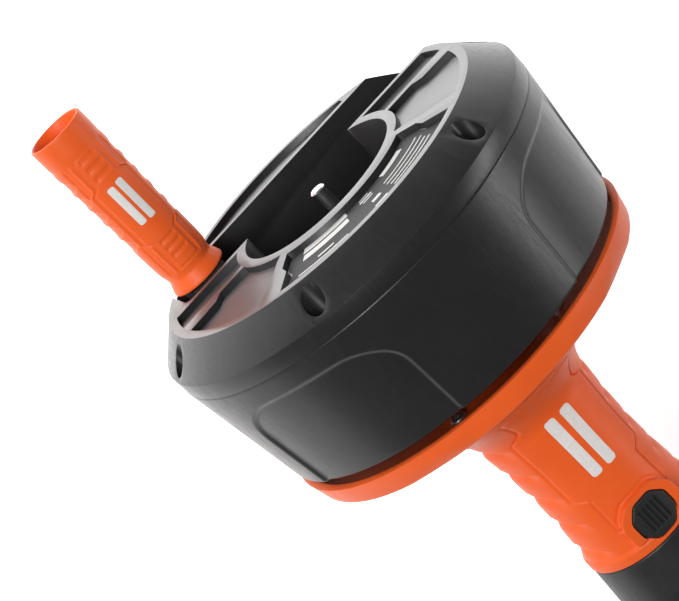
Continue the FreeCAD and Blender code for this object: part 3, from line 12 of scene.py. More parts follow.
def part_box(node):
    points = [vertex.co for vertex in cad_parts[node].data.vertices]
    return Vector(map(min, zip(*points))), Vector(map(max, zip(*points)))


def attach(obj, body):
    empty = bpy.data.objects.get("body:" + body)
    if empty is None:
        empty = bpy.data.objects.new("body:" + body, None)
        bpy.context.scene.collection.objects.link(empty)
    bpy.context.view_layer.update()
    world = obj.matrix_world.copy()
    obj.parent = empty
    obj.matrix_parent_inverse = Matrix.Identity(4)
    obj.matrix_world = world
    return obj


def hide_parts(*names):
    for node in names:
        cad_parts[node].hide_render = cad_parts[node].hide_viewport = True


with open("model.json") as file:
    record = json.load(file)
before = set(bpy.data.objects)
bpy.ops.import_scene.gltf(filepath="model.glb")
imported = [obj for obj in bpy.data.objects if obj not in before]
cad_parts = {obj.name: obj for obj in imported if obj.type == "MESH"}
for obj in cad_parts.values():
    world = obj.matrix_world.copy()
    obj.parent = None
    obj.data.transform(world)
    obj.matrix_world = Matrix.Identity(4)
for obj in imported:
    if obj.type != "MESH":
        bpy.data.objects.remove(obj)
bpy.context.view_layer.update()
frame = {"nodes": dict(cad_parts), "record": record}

bl_info = {
    "name": "Drain Snake Looks",
    "version": (1, 0, 0),
    "blender": (4, 5, 0),
    "location": "3D View > Sidebar > Drain Snake",
    "description": "Builds the visible pieces and finishes of a hand-held drain snake around its CAD frame",
    "category": "Object",
}

MM = 0.001
COVER_LOW, COVER_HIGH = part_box("rear_cover")
SHELL_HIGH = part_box("drum_shell")[1]
SLEEVE_LOW, SLEEVE_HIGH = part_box("crank_sleeve")
BUTTON_LOW, BUTTON_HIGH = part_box("thumb_button")
LABEL_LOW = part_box("label_plate")[0]

# Lines of (x, r) are in millimetres: x from the drum's rear face towards the nose, r from the axis.
REAR_X = COVER_LOW.x
AXIS_Z = (COVER_LOW.z + COVER_HIGH.z) / 2


# ---------------------------------------------------------------- sizes and colours that a user may change
class DrumSizes(PropertyGroup):
    taper_front: FloatProperty(
        name="Front radius", description="Radius of the shell at its front",
        default=0.0877, unit="LENGTH")
    panel_depth: FloatProperty(
        name="Panel depth", description="How far the side panels are sunk",
        default=0.0013, unit="LENGTH")
    panel_edge: FloatProperty(
        name="Panel edge", description="Width of the slope round each side panel",
        default=0.0016, unit="LENGTH")
    edge_round: FloatProperty(
        name="Edge round", description="Width of the rounded edges of the rear cover",
        default=0.0005, unit="LENGTH")
    screws: IntProperty(
        name="Cover screws", description="Number of screws in the rear cover",
        default=6, min=3, max=12)
    screw_circle: FloatProperty(
        name="Screw circle", description="Radius of the circle that the screws stand on",
        default=0.0884, unit="LENGTH")


class GripSizes(PropertyGroup):
    lobe_pitch: FloatProperty(
        name="Lobe pitch", description="Distance between the finger lobes of the grip",
        default=0.0157, unit="LENGTH")
    lobe_depth: FloatProperty(
        name="Lobe depth", description="Depth of the creases between the finger lobes",
        default=0.0017, unit="LENGTH")
    plaque_height: FloatProperty(
        name="Plaque height", description="How far the plaque stands out of the grip",
        default=0.0006, unit="LENGTH")
    grooves: IntProperty(
        name="Button grooves", description="Number of grooves on the thumb button",
        default=5, min=3, max=9)
    groove_width: FloatProperty(
        name="Groove width", description="Width of a groove on the thumb button",
        default=0.0011, unit="LENGTH")
    flutes: IntProperty(
        name="Nose flutes", description="Number of finger flutes round the nose",
        default=18, min=6, max=36)


class SleeveSizes(PropertyGroup):
    relief: FloatProperty(
        name="Relief", description="Height of the raised grip pattern on the crank sleeve",
        default=0.0005, unit="LENGTH")
    notch_pitch: FloatProperty(
        name="Notch pitch", description="Distance between the notches along the sleeve's sides",
        default=0.0087, unit="LENGTH")


class Colours(PropertyGroup):
    drum: FloatVectorProperty(
        name="Drum", description="Moulded plastic of the drum",
        subtype="COLOR", size=3, min=0, max=1, default=(0.015, 0.015, 0.016))
    orange: FloatVectorProperty(
        name="Orange", description="Moulded plastic of the grip, flange and sleeve",
        subtype="COLOR", size=3, min=0, max=1, default=(0.76, 0.105, 0.016))
    nose: FloatVectorProperty(
        name="Nose", description="Moulded plastic of the nose",
        subtype="COLOR", size=3, min=0, max=1, default=(0.013, 0.013, 0.014))
    button: FloatVectorProperty(
        name="Button", description="Soft plastic of the thumb button",
        subtype="COLOR", size=3, min=0, max=1, default=(0.008, 0.009, 0.009))
    steel: FloatVectorProperty(
        name="Steel", description="Bright steel of the shank",
        subtype="COLOR", size=3, min=0, max=1, default=(0.72, 0.73, 0.74))
    print_ink: FloatVectorProperty(
        name="Print", description="Light ink of the label and the stripes",
        subtype="COLOR", size=3, min=0, max=1, default=(0.72, 0.71, 0.69))


class StageSizes(PropertyGroup):
    lens: FloatProperty(
        name="Lens", description="Focal length of the camera in millimetres",
        default=156.6, min=20)
    floor_radius: FloatProperty(
        name="Floor radius", description="Radius of the floor",
        default=8.0, unit="LENGTH")


class DrainSnakeSettings(PropertyGroup):
    drum: PointerProperty(type=DrumSizes)
    grip: PointerProperty(type=GripSizes)
    sleeve: PointerProperty(type=SleeveSizes)
    colours: PointerProperty(type=Colours)
    stage: PointerProperty(type=StageSizes)


def settings():
    return bpy.context.scene.drain_snake


# ---------------------------------------------------------------- node helpers
def new_material(name):
    material = bpy.data.materials.new(name)
    material.use_nodes = True
    shader = material.node_tree.nodes["Principled BSDF"]
    return material, material.node_tree, shader


def put(tree, kind, **values):
    """Add a node and set its plain attributes."""
    node = tree.nodes.new(kind)
    for key, value in values.items():
        setattr(node, key, value)
    return node


def feed(tree, source, socket):
    tree.links.new(source, socket)


def noise(tree, where, scale, detail=3.0, roughness=0.5):
    node = put(tree, "ShaderNodeTexNoise")
    node.inputs["Scale"].default_value = scale
    node.inputs["Detail"].default_value = detail
    node.inputs["Roughness"].default_value = roughness
    feed(tree, where, node.inputs["Vector"])
    return node.outputs["Fac"]


def ramp(tree, fac, low, high, start=0.0, end=1.0):
    """Spread a value between start and end over low to high."""
    node = put(tree, "ShaderNodeMapRange")
    node.inputs["From Min"].default_value = low
    node.inputs["From Max"].default_value = high
    node.inputs["To Min"].default_value = start
    node.inputs["To Max"].default_value = end
    feed(tree, fac, node.inputs["Value"])
    return node.outputs["Result"]


def blend_colours(tree, fac, low, high):
    node = put(tree, "ShaderNodeMix", data_type="RGBA")
    feed(tree, fac, next(s for s in node.inputs if s.name == "Factor" and s.type == "VALUE"))
    for socket, colour in zip([s for s in node.inputs if s.type == "RGBA"], (low, high)):
        socket.default_value = (*colour, 1)
    return next(s for s in node.outputs if s.type == "RGBA")


def bump(tree, height, distance, strength, under=None):
    node = put(tree, "ShaderNodeBump")
    node.inputs["Strength"].default_value = strength
    node.inputs["Distance"].default_value = distance
    feed(tree, height, node.inputs["Height"])
    if under is not None:
        feed(tree, under, node.inputs["Normal"])
    return node.outputs["Normal"]


def place(tree):
    return put(tree, "ShaderNodeTexCoord").outputs["Object"]


def stretched(tree, where, scale):
    node = put(tree, "ShaderNodeMapping")
    node.inputs["Scale"].default_value = scale
    feed(tree, where, node.inputs["Vector"])
    return node.outputs["Vector"]


def calc(tree, operation, *values):
    """A Math node on plain numbers and sockets."""
    node = put(tree, "ShaderNodeMath", operation=operation)
    for socket, value in zip(node.inputs, values):
        if isinstance(value, float):
            socket.default_value = value
        else:
            feed(tree, value, socket)
    return node.outputs[0]


def lighter(colour, share):
    return tuple(min(1.0, c * share) for c in colour)


def tint(tree, shader, tone, colour, low, high, start=0.3, end=0.7):
    """Colour a surface from a darker to a lighter tone of its colour."""
    blend = blend_colours(tree, ramp(tree, tone, start, end), lighter(colour, low), lighter(colour, high))
    feed(tree, blend, shader.inputs["Base Color"])


# ---------------------------------------------------------------- materials
def moulded(name, colour, rough, grain, ior=1.5, mottle=0.12, scuff=0.12):
    """Moulded plastic: fine spark-eroded grain, a slow change of tone, and faint scuffs."""
    material, tree, shader = new_material(name)
    where = place(tree)
    tone = noise(tree, where, 38.0, 4.0, 0.6)
    tint(tree, shader, tone, colour, 1 - mottle, 1 + mottle)
    scratches = noise(tree, stretched(tree, where, (1.0, 9.0, 3.0)), 90.0, 6.0, 0.7)
    feed(tree, ramp(tree, scratches, 0.42, 0.75, rough, rough + scuff), shader.inputs["Roughness"])
    fine = noise(tree, where, 2600.0, 2.0, 0.5)
    soft = noise(tree, where, 160.0, 3.0, 0.5)
    swell = bump(tree, soft, 0.0004, 0.06)
    feed(tree, bump(tree, fine, 0.00012, grain, swell), shader.inputs["Normal"])
    shader.inputs["IOR"].default_value = ior
    return material


def metal(name, colour, rough, lines, along=(1.0, 60.0, 60.0)):
    """Turned or drawn metal: fine tool lines and a faint stain."""
    material, tree, shader = new_material(name)
    where = place(tree)
    stain = noise(tree, where, 120.0, 4.0, 0.6)
    tint(tree, shader, stain, colour, 0.86, 1.04, start=0.35)
    fine = noise(tree, stretched(tree, where, along), 400.0, 3.0, 0.6)
    feed(tree, ramp(tree, fine, 0.3, 0.7, rough * 0.8, rough * 1.25), shader.inputs["Roughness"])
    feed(tree, bump(tree, fine, 0.00006, lines), shader.inputs["Normal"])
    shader.inputs["Metallic"].default_value = 1.0
    return material


def wound_wire(name, colour):
    """Close-wound wire: round bands across the cable's length."""
    material, tree, shader = new_material(name)
    where = place(tree)
    bands = put(tree, "ShaderNodeTexWave", wave_type="BANDS", bands_direction="X", wave_profile="SIN")
    bands.inputs["Scale"].default_value = 110.0
    feed(tree, where, bands.inputs["Vector"])
    grime = noise(tree, where, 500.0, 4.0, 0.6)
    tint(tree, shader, grime, colour, 0.6, 1.0, start=0.35)
    feed(tree, ramp(tree, grime, 0.3, 0.7, 0.28, 0.5), shader.inputs["Roughness"])
    feed(tree, bump(tree, bands.outputs["Fac"], 0.0006, 0.7), shader.inputs["Normal"])
    shader.inputs["Metallic"].default_value = 1.0
    return material


def printed_film(name, colour):
    """Label film: fine pebble and a satin sheen."""
    material, tree, shader = new_material(name)
    where = place(tree)
    tone = noise(tree, where, 60.0, 3.0, 0.5)
    tint(tree, shader, tone, colour, 0.9, 1.12)
    pebble = noise(tree, where, 1800.0, 2.0, 0.5)
    feed(tree, ramp(tree, pebble, 0.3, 0.7, 0.50, 0.62), shader.inputs["Roughness"])
    feed(tree, bump(tree, pebble, 0.00005, 0.3), shader.inputs["Normal"])
    shader.inputs["IOR"].default_value = 1.25
    return material


def ink(name, colour):
    """Pad-printed ink: slightly uneven cover and a low sheen."""
    material, tree, shader = new_material(name)
    where = place(tree)
    cover = noise(tree, where, 700.0, 5.0, 0.7)
    tint(tree, shader, cover, colour, 0.86, 1.0, start=0.25, end=0.6)
    feed(tree, ramp(tree, cover, 0.3, 0.7, 0.42, 0.58), shader.inputs["Roughness"])
    feed(tree, bump(tree, cover, 0.00004, 0.25), shader.inputs["Normal"])
    return material


FINISH = {}


def make_finishes():
    colours = settings().colours
    orange = tuple(colours.orange)
    steel = tuple(colours.steel)
    FINISH["drum_black"] = moulded("drum_plastic", tuple(colours.drum), 0.30, 0.10, ior=1.45, mottle=0.10)
    # the rear cover's flat rear faces: lighter than the drum, a painted reflection of the bright floor
    FINISH["drum_face_painted_reflection"] = moulded("drum_face_painted_reflection", (0.05, 0.05, 0.052), 0.38, 0.03, ior=2.3, mottle=0.05,
                                  scuff=0.03)
    FINISH["tool_orange"] = moulded("orange_plastic", orange, 0.42, 0.16, ior=1.32, mottle=0.05)
    FINISH["nose_black"] = moulded("nose_plastic", tuple(colours.nose), 0.42, 0.22, mottle=0.12)
    FINISH["button_black"] = moulded("button_rubber", tuple(colours.button), 0.52, 0.35, mottle=0.15)
    FINISH["label_grey"] = printed_film("label_film", (0.045, 0.045, 0.047))
    FINISH["bright_steel"] = metal("turned_steel", steel, 0.22, 0.25)
    FINISH["zinc_steel"] = metal("zinc_plate", (0.56, 0.57, 0.60), 0.36, 0.15, along=(1.0, 1.0, 1.0))
    FINISH["dark_steel"] = metal("blackened_screw", (0.10, 0.10, 0.105), 0.38, 0.15, along=(1.0, 1.0, 1.0))
    FINISH["spring_steel"] = metal("spring_wire", (0.46, 0.46, 0.48), 0.30, 0.2)
    FINISH["cable_steel"] = wound_wire("wound_cable", (0.50, 0.50, 0.49))
    FINISH["bearing_bronze"] = metal("bush_bronze", (0.55, 0.36, 0.16), 0.34, 0.2)
    FINISH["washer_nylon"] = moulded("washer_nylon", (0.78, 0.77, 0.72), 0.45, 0.1, mottle=0.04)
    FINISH["print"] = ink("light_print", tuple(colours.print_ink))


def finish_cad_nodes():
    """Give each CAD node the finish of its slot in the record."""
    for part in frame["record"]["subparts"]:
        node = frame["nodes"][part["node"]]
        node.data.materials.clear()
        node.data.materials.append(FINISH[part["material_slot"]])


# ---------------------------------------------------------------- mesh helpers
WELD = 1e-7
CAD_WELD = 2e-6
CAD_FLAT_ANGLE = 0.8
CAD_CRISP_ANGLE = 34.0


def step(distance, width):
    """Smooth 0 to 1 as distance passes through zero, over width."""
    t = np.clip(distance / width + 0.5, 0.0, 1.0)
    return t * t * (3.0 - 2.0 * t)


def soft_min(a, b, blend):
    """The smaller of two lengths, with a rounded corner where they meet."""
    h = np.clip(0.5 + 0.5 * (b - a) / blend, 0.0, 1.0)
    return b * (1 - h) + a * h - blend * h * (1 - h)


def resample(points, spacing):
    """Points of a line (x, r), with more put in so that none are further apart than spacing."""
    line = [points[0]]
    for (x0, r0), (x1, r1) in zip(points, points[1:]):
        n = max(1, math.ceil(math.hypot(x1 - x0, r1 - r0) / spacing))
        line += [(x0 + (x1 - x0) * i / n, r0 + (r1 - r0) * i / n) for i in range(1, n + 1)]
    return line


def link_new(name, data):
    piece = bpy.data.objects.new(name, data)
    bpy.context.scene.collection.objects.link(piece)
    return piece


def crisp(shape, angle, smooth=True):
    """Shade a bmesh smooth, and keep edges sharper than an angle crisp."""
    for face in shape.faces:
        face.smooth = smooth
    for edge in shape.edges:
        if len(edge.link_faces) == 2 and edge.calc_face_angle(0.0) > math.radians(angle):
            edge.smooth = False


def finish_mesh(name, points, faces, finish, smooth=True, sharp=40.0):
    """A closed piece at the origin, with its normals out."""
    mesh = bpy.data.meshes.new(name)
    mesh.from_pydata(points, [], faces)
    mesh.validate()
    shape = bmesh.new()
    shape.from_mesh(mesh)
    bmesh.ops.remove_doubles(shape, verts=shape.verts, dist=WELD)
    bmesh.ops.recalc_face_normals(shape, faces=shape.faces)
    crisp(shape, sharp, smooth)
    shape.to_mesh(mesh)
    shape.free()
    mesh.materials.append(FINISH[finish])
    return link_new(name, mesh)


def grid_faces(rows, columns):
    """Four-sided faces over points that are stored row by row."""
    return [(i * columns + k, (i + 1) * columns + k, (i + 1) * columns + k + 1, i * columns + k + 1)
            for i in range(rows - 1) for k in range(columns - 1)]


def grid_border(rows, columns):
    """The grid's outer points, in order round it."""
    border = [i * columns for i in range(rows)] + [(rows - 1) * columns + k for k in range(1, columns)]
    border += [i * columns + columns - 1 for i in range(rows - 2, -1, -1)]
    return border + list(range(columns - 2, 0, -1))


def lathe(name, profile, relief, segments, finish, axis_y=0.0, axis_z=AXIS_Z, turn=(0.0, 360.0),
          sharp=40.0):
    """A closed turned piece about X. profile is a closed loop of (x, r, takes_relief); relief(x, angle) is
    added to the radius, with the angle in radians from the top towards +Y."""
    full = abs(turn[1] - turn[0]) > 359.9
    count = segments if full else segments + 1
    angles = np.radians(np.linspace(turn[0], turn[1], segments + 1))[:count]
    x = np.array([p[0] for p in profile])
    r = np.array([p[1] for p in profile])
    takes = np.array([p[2] for p in profile], float)
    grid_x, grid_a = np.meshgrid(x, angles, indexing="ij")
    radius = r[:, None] + relief(grid_x, grid_a) * takes[:, None]
    points = np.stack([grid_x + REAR_X, axis_y + radius * np.sin(grid_a),
                       axis_z + radius * np.cos(grid_a)], -1)
    rows = len(profile)
    faces = []
    for i in range(rows):
        j = (i + 1) % rows
        for k in range(segments):
            m = (k + 1) % count
            faces.append((i * count + k, j * count + k, j * count + m, i * count + m))
    if not full:
        faces.append(tuple(i * count for i in range(rows)))
        faces.append(tuple(i * count + count - 1 for i in reversed(range(rows))))
    return finish_mesh(name, points.reshape(-1, 3).tolist(), faces, finish, sharp=sharp)


def mm(points, takes=0.0):
    """Points (x, r) in millimetres as (x, r, takes_relief) in metres."""
    return [(x * MM, r * MM, takes) for x, r in points]


def cut(piece, cutters):
    """Take closed cutting shapes out of a piece, and remove them."""
    for cutter in cutters:
        modifier = piece.modifiers.new("cut", "BOOLEAN")
        modifier.operation = "DIFFERENCE"
        modifier.solver = "EXACT"
        modifier.object = cutter
    apply_modifiers(piece)
    for cutter in cutters:
        bpy.data.objects.remove(cutter)


def apply_modifiers(piece):
    graph = bpy.context.evaluated_depsgraph_get()
    made = bpy.data.meshes.new_from_object(piece.evaluated_get(graph))
    old = piece.data
    piece.modifiers.clear()
    piece.data = made
    bpy.data.meshes.remove(old)


def rounded_copy(node, name, width, steps, finish, angle=30.0):
    """A CAD node's shape as a new piece with its edges rounded."""
    source = frame["nodes"][node]
    shape = bmesh.new()
    shape.from_mesh(source.data)
    bmesh.ops.remove_doubles(shape, verts=shape.verts, dist=CAD_WELD)
    bmesh.ops.dissolve_limit(shape, angle_limit=math.radians(CAD_FLAT_ANGLE), verts=shape.verts,
                             edges=shape.edges)
    mesh = bpy.data.meshes.new(name)
    shape.to_mesh(mesh)
    shape.free()
    mesh.materials.clear()
    mesh.materials.append(FINISH[finish])
    piece = link_new(name, mesh)
    bevel = piece.modifiers.new("round", "BEVEL")
    bevel.width = width
    bevel.segments = steps
    bevel.limit_method = "ANGLE"
    bevel.angle_limit = math.radians(angle)
    bevel.use_clamp_overlap = True
    bevel.miter_outer = "MITER_ARC"
    apply_modifiers(piece)
    shape = bmesh.new()
    shape.from_mesh(piece.data)
    crisp(shape, CAD_CRISP_ANGLE)
    shape.to_mesh(piece.data)
    shape.free()
    return piece


def settle(piece, body, slot, *nodes):
    """Tie a finished piece to its body and hide the nodes that it stands for; slot is not used."""
    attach(piece, body)
    if nodes:
        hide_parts(*nodes)


# ---------------------------------------------------------------- drum
SHELL_SEGMENTS = 720
SHELL_REAR, SHELL_LIP, SHELL_BELOW_COVER, SHELL_SPACING = 0.021, 0.0022, 0.0002, 0.0008
SHELL_INSIDE = [(80.4, 60.0), (80.4, 28.0), (80.4, 12.05), (74.4, 12.05), (74.4, 28.0), (77.4, 28.0),
                (77.4, 84.9), (22.0, 91.6), (21.0, 91.7)]
# the side panels' middles in degrees from the top, and their sizes in metres
PANEL_TURNS = (49.0, -49.0, 131.0, -131.0)
PANEL_RADIUS, PANEL_HALF, PANEL_REAR_HALF = 0.0915, 0.0404, 0.0274
PANEL_REAR, PANEL_BOW, PANEL_CORNER = 0.031, 0.001, 0.032
PANEL_SLANT_X, PANEL_SLANT_SIDE = 0.778, 0.628
PANEL_SIDE_BLEND, PANEL_REAR_BLEND = 0.006, 0.005
# faces within FACE_DEPTH of the rear that face back beyond FACE_LEAN get the painted reflection
FACE_DEPTH, FACE_LEAN = 0.0045, -0.9


def panel_relief(x, angle):
    """Side panels sunk in the shell, each with a bowed rear edge, slanted corners and a soft slope."""
    sizes = settings().drum
    depth = np.zeros_like(x)
    for middle in PANEL_TURNS:
        turn = angle - math.radians(middle)
        across = np.abs(PANEL_RADIUS * np.sin(turn))
        side = PANEL_HALF - across
        corner = (x - PANEL_CORNER) * PANEL_SLANT_X - (across - PANEL_REAR_HALF) * PANEL_SLANT_SIDE
        rear = x - PANEL_REAR - PANEL_BOW * (across / PANEL_REAR_HALF) ** 2
        inside = soft_min(soft_min(side, corner, PANEL_SIDE_BLEND), rear, PANEL_REAR_BLEND)
        depth = np.maximum(depth, step(inside, sizes.panel_edge) * (np.cos(turn) > 0))
    return -sizes.panel_depth * depth


def build_shell():
    """The drum's shell: a tapered side with rounded ends."""
    taper = settings().drum.taper_front
    front = SHELL_HIGH.x - REAR_X
    r_rear = (COVER_HIGH.y - COVER_LOW.y) / 2 - SHELL_BELOW_COVER
    outer = [(SHELL_REAR, r_rear - 0.0006), (SHELL_REAR + 0.0002, r_rear - 0.0002),
             (SHELL_REAR + 0.0006, r_rear)]
    outer += resample([outer[-1], (front - SHELL_LIP, taper)], SHELL_SPACING)[1:]
    for i in range(1, 7):
        turn = math.radians(90 * i / 6)
        outer.append((front - SHELL_LIP * (1 - math.sin(turn)), taper - SHELL_LIP * (1 - math.cos(turn))))
    profile = [(x, r, 1.0) for x, r in outer] + mm(SHELL_INSIDE)
    piece = lathe("drum_shell_visual", profile, panel_relief, SHELL_SEGMENTS, "drum_black")
    settle(piece, "drum", "drum_black", "drum_shell")


def build_cover():
    """The rear cover with rounded edges; its flat rear faces get a lighter colour and a stronger reflection, a
    painted reflection of the bright floor.
    """
    piece = rounded_copy("rear_cover", "rear_cover_visual", settings().drum.edge_round, 2, "drum_black")
    piece.data.materials.append(FINISH["drum_face_painted_reflection"])
    # painted reflection: the flat rear faces take the lighter finish
    for face in piece.data.polygons:
        if face.normal.x < FACE_LEAN and face.center.x < REAR_X + FACE_DEPTH:
            face.material_index = 1
    settle(piece, "drum", "drum_black", "rear_cover")


def pan_head(name, shank_r, shank, head_r, head, socket_r, socket, finish):
    """A pan-head screw that points along +X from its head's seat at the origin, in millimetres."""
    loop = [(shank - 0.8, shank_r), (0.0, shank_r), (0.0, head_r), (-head * 0.45, head_r),
            (-head * 0.78, head_r * 0.93), (-head * 0.95, head_r * 0.78), (-head, head_r * 0.6),
            (-head, socket_r), (-head + socket, socket_r * 0.96)]
    count = 24
    points, faces = [], []
    for x, r in loop:
        for k in range(count):
            turn = 2 * math.pi * k / count
            lobe = 1.0
            if r <= socket_r and x < 0:
                lobe = 1.0 + 0.14 * math.cos(6 * turn)
            points.append((x * MM, r * lobe * math.sin(turn) * MM, r * lobe * math.cos(turn) * MM))
    for i in range(len(loop) - 1):
        for k in range(count):
            m = (k + 1) % count
            faces.append((i * count + k, (i + 1) * count + k, (i + 1) * count + m, i * count + m))
    points += [(shank * MM, 0.0, 0.0), ((-head + socket) * MM, 0.0, 0.0)]
    tip, floor = len(points) - 2, len(points) - 1
    last = (len(loop) - 1) * count
    for k in range(count):
        m = (k + 1) % count
        faces.append((tip, k, m))
        faces.append((floor, last + m, last + k))
    return finish_mesh(name, points, faces, finish, sharp=35.0)


def ring_tree(name, finish):
    """A node tree that sets a mesh out on a ring about X, with named inputs."""
    tree = bpy.data.node_groups.new(name, "GeometryNodeTree")
    face = tree.interface
    face.new_socket("Geometry", in_out="OUTPUT", socket_type="NodeSocketGeometry")
    face.new_socket("Geometry", in_out="INPUT", socket_type="NodeSocketGeometry")
    face.new_socket("Piece", in_out="INPUT", socket_type="NodeSocketObject")
    face.new_socket("Count", in_out="INPUT", socket_type="NodeSocketInt")
    face.new_socket("Radius", in_out="INPUT", socket_type="NodeSocketFloat")
    face.new_socket("Centre", in_out="INPUT", socket_type="NodeSocketVector")
    face.new_socket("Turn", in_out="INPUT", socket_type="NodeSocketFloat")
    entry = put(tree, "NodeGroupInput")
    leave = put(tree, "NodeGroupOutput")
    ring = put(tree, "GeometryNodeMeshCircle")
    turn_up = put(tree, "GeometryNodeTransform")
    turn_up.inputs["Rotation"].default_value = (0.0, math.pi / 2, 0.0)
    start = put(tree, "ShaderNodeCombineXYZ")
    spin = put(tree, "GeometryNodeTransform")
    there = put(tree, "GeometryNodeTransform")
    shape = put(tree, "GeometryNodeObjectInfo")
    scatter = put(tree, "GeometryNodeInstanceOnPoints")
    real = put(tree, "GeometryNodeRealizeInstances")
    paint = put(tree, "GeometryNodeSetMaterial")
    paint.inputs["Material"].default_value = FINISH[finish]
    feed(tree, entry.outputs["Count"], ring.inputs["Vertices"])
    feed(tree, entry.outputs["Radius"], ring.inputs["Radius"])
    feed(tree, ring.outputs["Mesh"], turn_up.inputs["Geometry"])
    feed(tree, entry.outputs["Turn"], start.inputs["X"])
    feed(tree, turn_up.outputs["Geometry"], spin.inputs["Geometry"])
    feed(tree, start.outputs["Vector"], spin.inputs["Rotation"])
    feed(tree, spin.outputs["Geometry"], there.inputs["Geometry"])
    feed(tree, entry.outputs["Centre"], there.inputs["Translation"])
    feed(tree, entry.outputs["Piece"], shape.inputs["Object"])
    feed(tree, there.outputs["Geometry"], scatter.inputs["Points"])
    feed(tree, shape.outputs["Geometry"], scatter.inputs["Instance"])
    feed(tree, scatter.outputs["Instances"], real.inputs["Geometry"])
    feed(tree, real.outputs["Geometry"], paint.inputs["Geometry"])
    feed(tree, paint.outputs["Geometry"], leave.inputs["Geometry"])
    return tree


def set_inputs(modifier, tree, **values):
    """Set a modifier's named inputs by their sockets' identifiers."""
    for item in tree.interface.items_tree:
        if item.item_type == "SOCKET" and item.in_out == "INPUT" and item.name in values:
            modifier[item.identifier] = values[item.name]


def ring_of(name, source, finish, count, radius, centre, first=0.0):
    """A ring of copies of a small mesh, as one plain mesh."""
    tree = ring_tree(name + "_tree", finish)
    holder = link_new(name, bpy.data.meshes.new(name))
    modifier = holder.modifiers.new("ring", "NODES")
    modifier.node_group = tree
    set_inputs(modifier, tree, Piece=source, Count=count, Radius=radius, Centre=centre, Turn=first)
    bpy.context.view_layer.update()
    apply_modifiers(holder)
    holder.data.materials.clear()
    holder.data.materials.append(FINISH[finish])
    bpy.data.objects.remove(source)
    return holder


def build_cover_screws():
    """The ring of pan-head screws in the rear cover."""
    sizes = settings().drum
    head = 2.6
    source = pan_head("cover_screw_source", shank_r=2.0, shank=20.0, head_r=3.9, head=head, socket_r=1.75,
                      socket=1.6, finish="dark_steel")
    centre = (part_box("cover_screws")[0].x + head * MM, 0.0, AXIS_Z)
    piece = ring_of("cover_screws_visual", source, "dark_steel", sizes.screws, sizes.screw_circle, centre)
    settle(piece, "drum", "dark_steel", "cover_screws")


# the bulb's outline as (share of its length, radius in millimetres)
BULB_LINE = [(0.0, 3.1), (0.06, 3.3), (0.133, 3.7), (0.333, 6.3), (0.533, 7.55), (0.767, 5.7), (0.93, 3.6),
             (0.964, 3.1), (0.99, 2.2)]
BULB_CORE, BULB_GAP, BULB_SPACING = 0.6, 0.05, 0.16
BULB_PITCH, BULB_WIRE_DEPTH = 0.00115, 0.00028


def wire_relief(x, angle):
    """Turns of wire round the bulb, as one helix."""
    return BULB_WIRE_DEPTH * np.cos(2 * math.pi * x / BULB_PITCH - angle)


def build_bulb():
    """The bulb at the cable's tip, wound from wire."""
    low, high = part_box("bulb_head")
    start, end = (low.x - REAR_X) / MM + BULB_GAP, (high.x - REAR_X) / MM - BULB_GAP
    line = resample([(start + (end - start) * share, r) for share, r in BULB_LINE], BULB_SPACING)
    profile = [(x * MM, r * MM, 1.0) for x, r in line]
    profile += mm([(end - 0.01, BULB_CORE), (start, BULB_CORE)])
    piece = lathe("bulb_head_visual", profile, wire_relief, 64, "cable_steel", sharp=70.0)
    settle(piece, "drum", "cable_steel", "bulb_head")


# ---------------------------------------------------------------- crank sleeve
SLEEVE_Y = (SLEEVE_LOW.y + SLEEVE_HIGH.y) / 2
SLEEVE_Z = (SLEEVE_LOW.z + SLEEVE_HIGH.z) / 2
# the sleeve's lines start at its foot; the outer one is in millimetres out from it
SLEEVE_LINE = [(0.3, 12.7), (0.5, 13.05), (1.0, 13.15), (1.6, 13.05), (3.4, 12.4), (5.6, 11.5), (6.3, 11.25),
               (7.4, 11.3), (9.0, 11.6), (16.0, 11.98), (34.0, 12.34), (60.0, 12.84), (72.0, 13.0),
               (76.5, 13.36), (82.0, 13.38), (84.8, 13.34), (85.25, 13.22), (85.52, 12.95), (85.6, 12.6)]
SLEEVE_BORE = [(-85.6, 12.4), (-85.45, 12.15), (-85.1, 12.0), (-80.0, 11.6), (-62.0, 10.9), (-48.0, 10.4),
               (-32.0, 10.4), (-32.0, 4.56), (-0.3, 4.56)]
SLEEVE_SEGMENTS, SLEEVE_SPACING = 240, 0.0004
RELIEF_FROM, RELIEF_TO, RELIEF_FADE = -0.0735, -0.0088, 0.002
# the raised pattern in millimetres: arcs from the middle of a flat, and places out from the foot
PATTERN_RADIUS, PATTERN_MIDDLE = 12.4, 42.0
WAISTED_HALF, WAISTED_WIDER, WAISTED_WIDE_TO, WAISTED_END = 5.4, 3.4, 15.5, 31.0
FRAME_GAP, FRAME_WIDTH, FRAME_END = 3.2, 1.3, 33.5
LADDER = [(16.6, 0.85), (20.3, 0.85), (24.0, 0.85), (61.6, 1.15), (66.3, 1.15), (71.0, 1.15)]
LADDER_HALF = 3.9
NOTCHES, NOTCH_FIRST, SIDE_FROM, SIDE_END = 5, 30.0, 12.0, 32.5


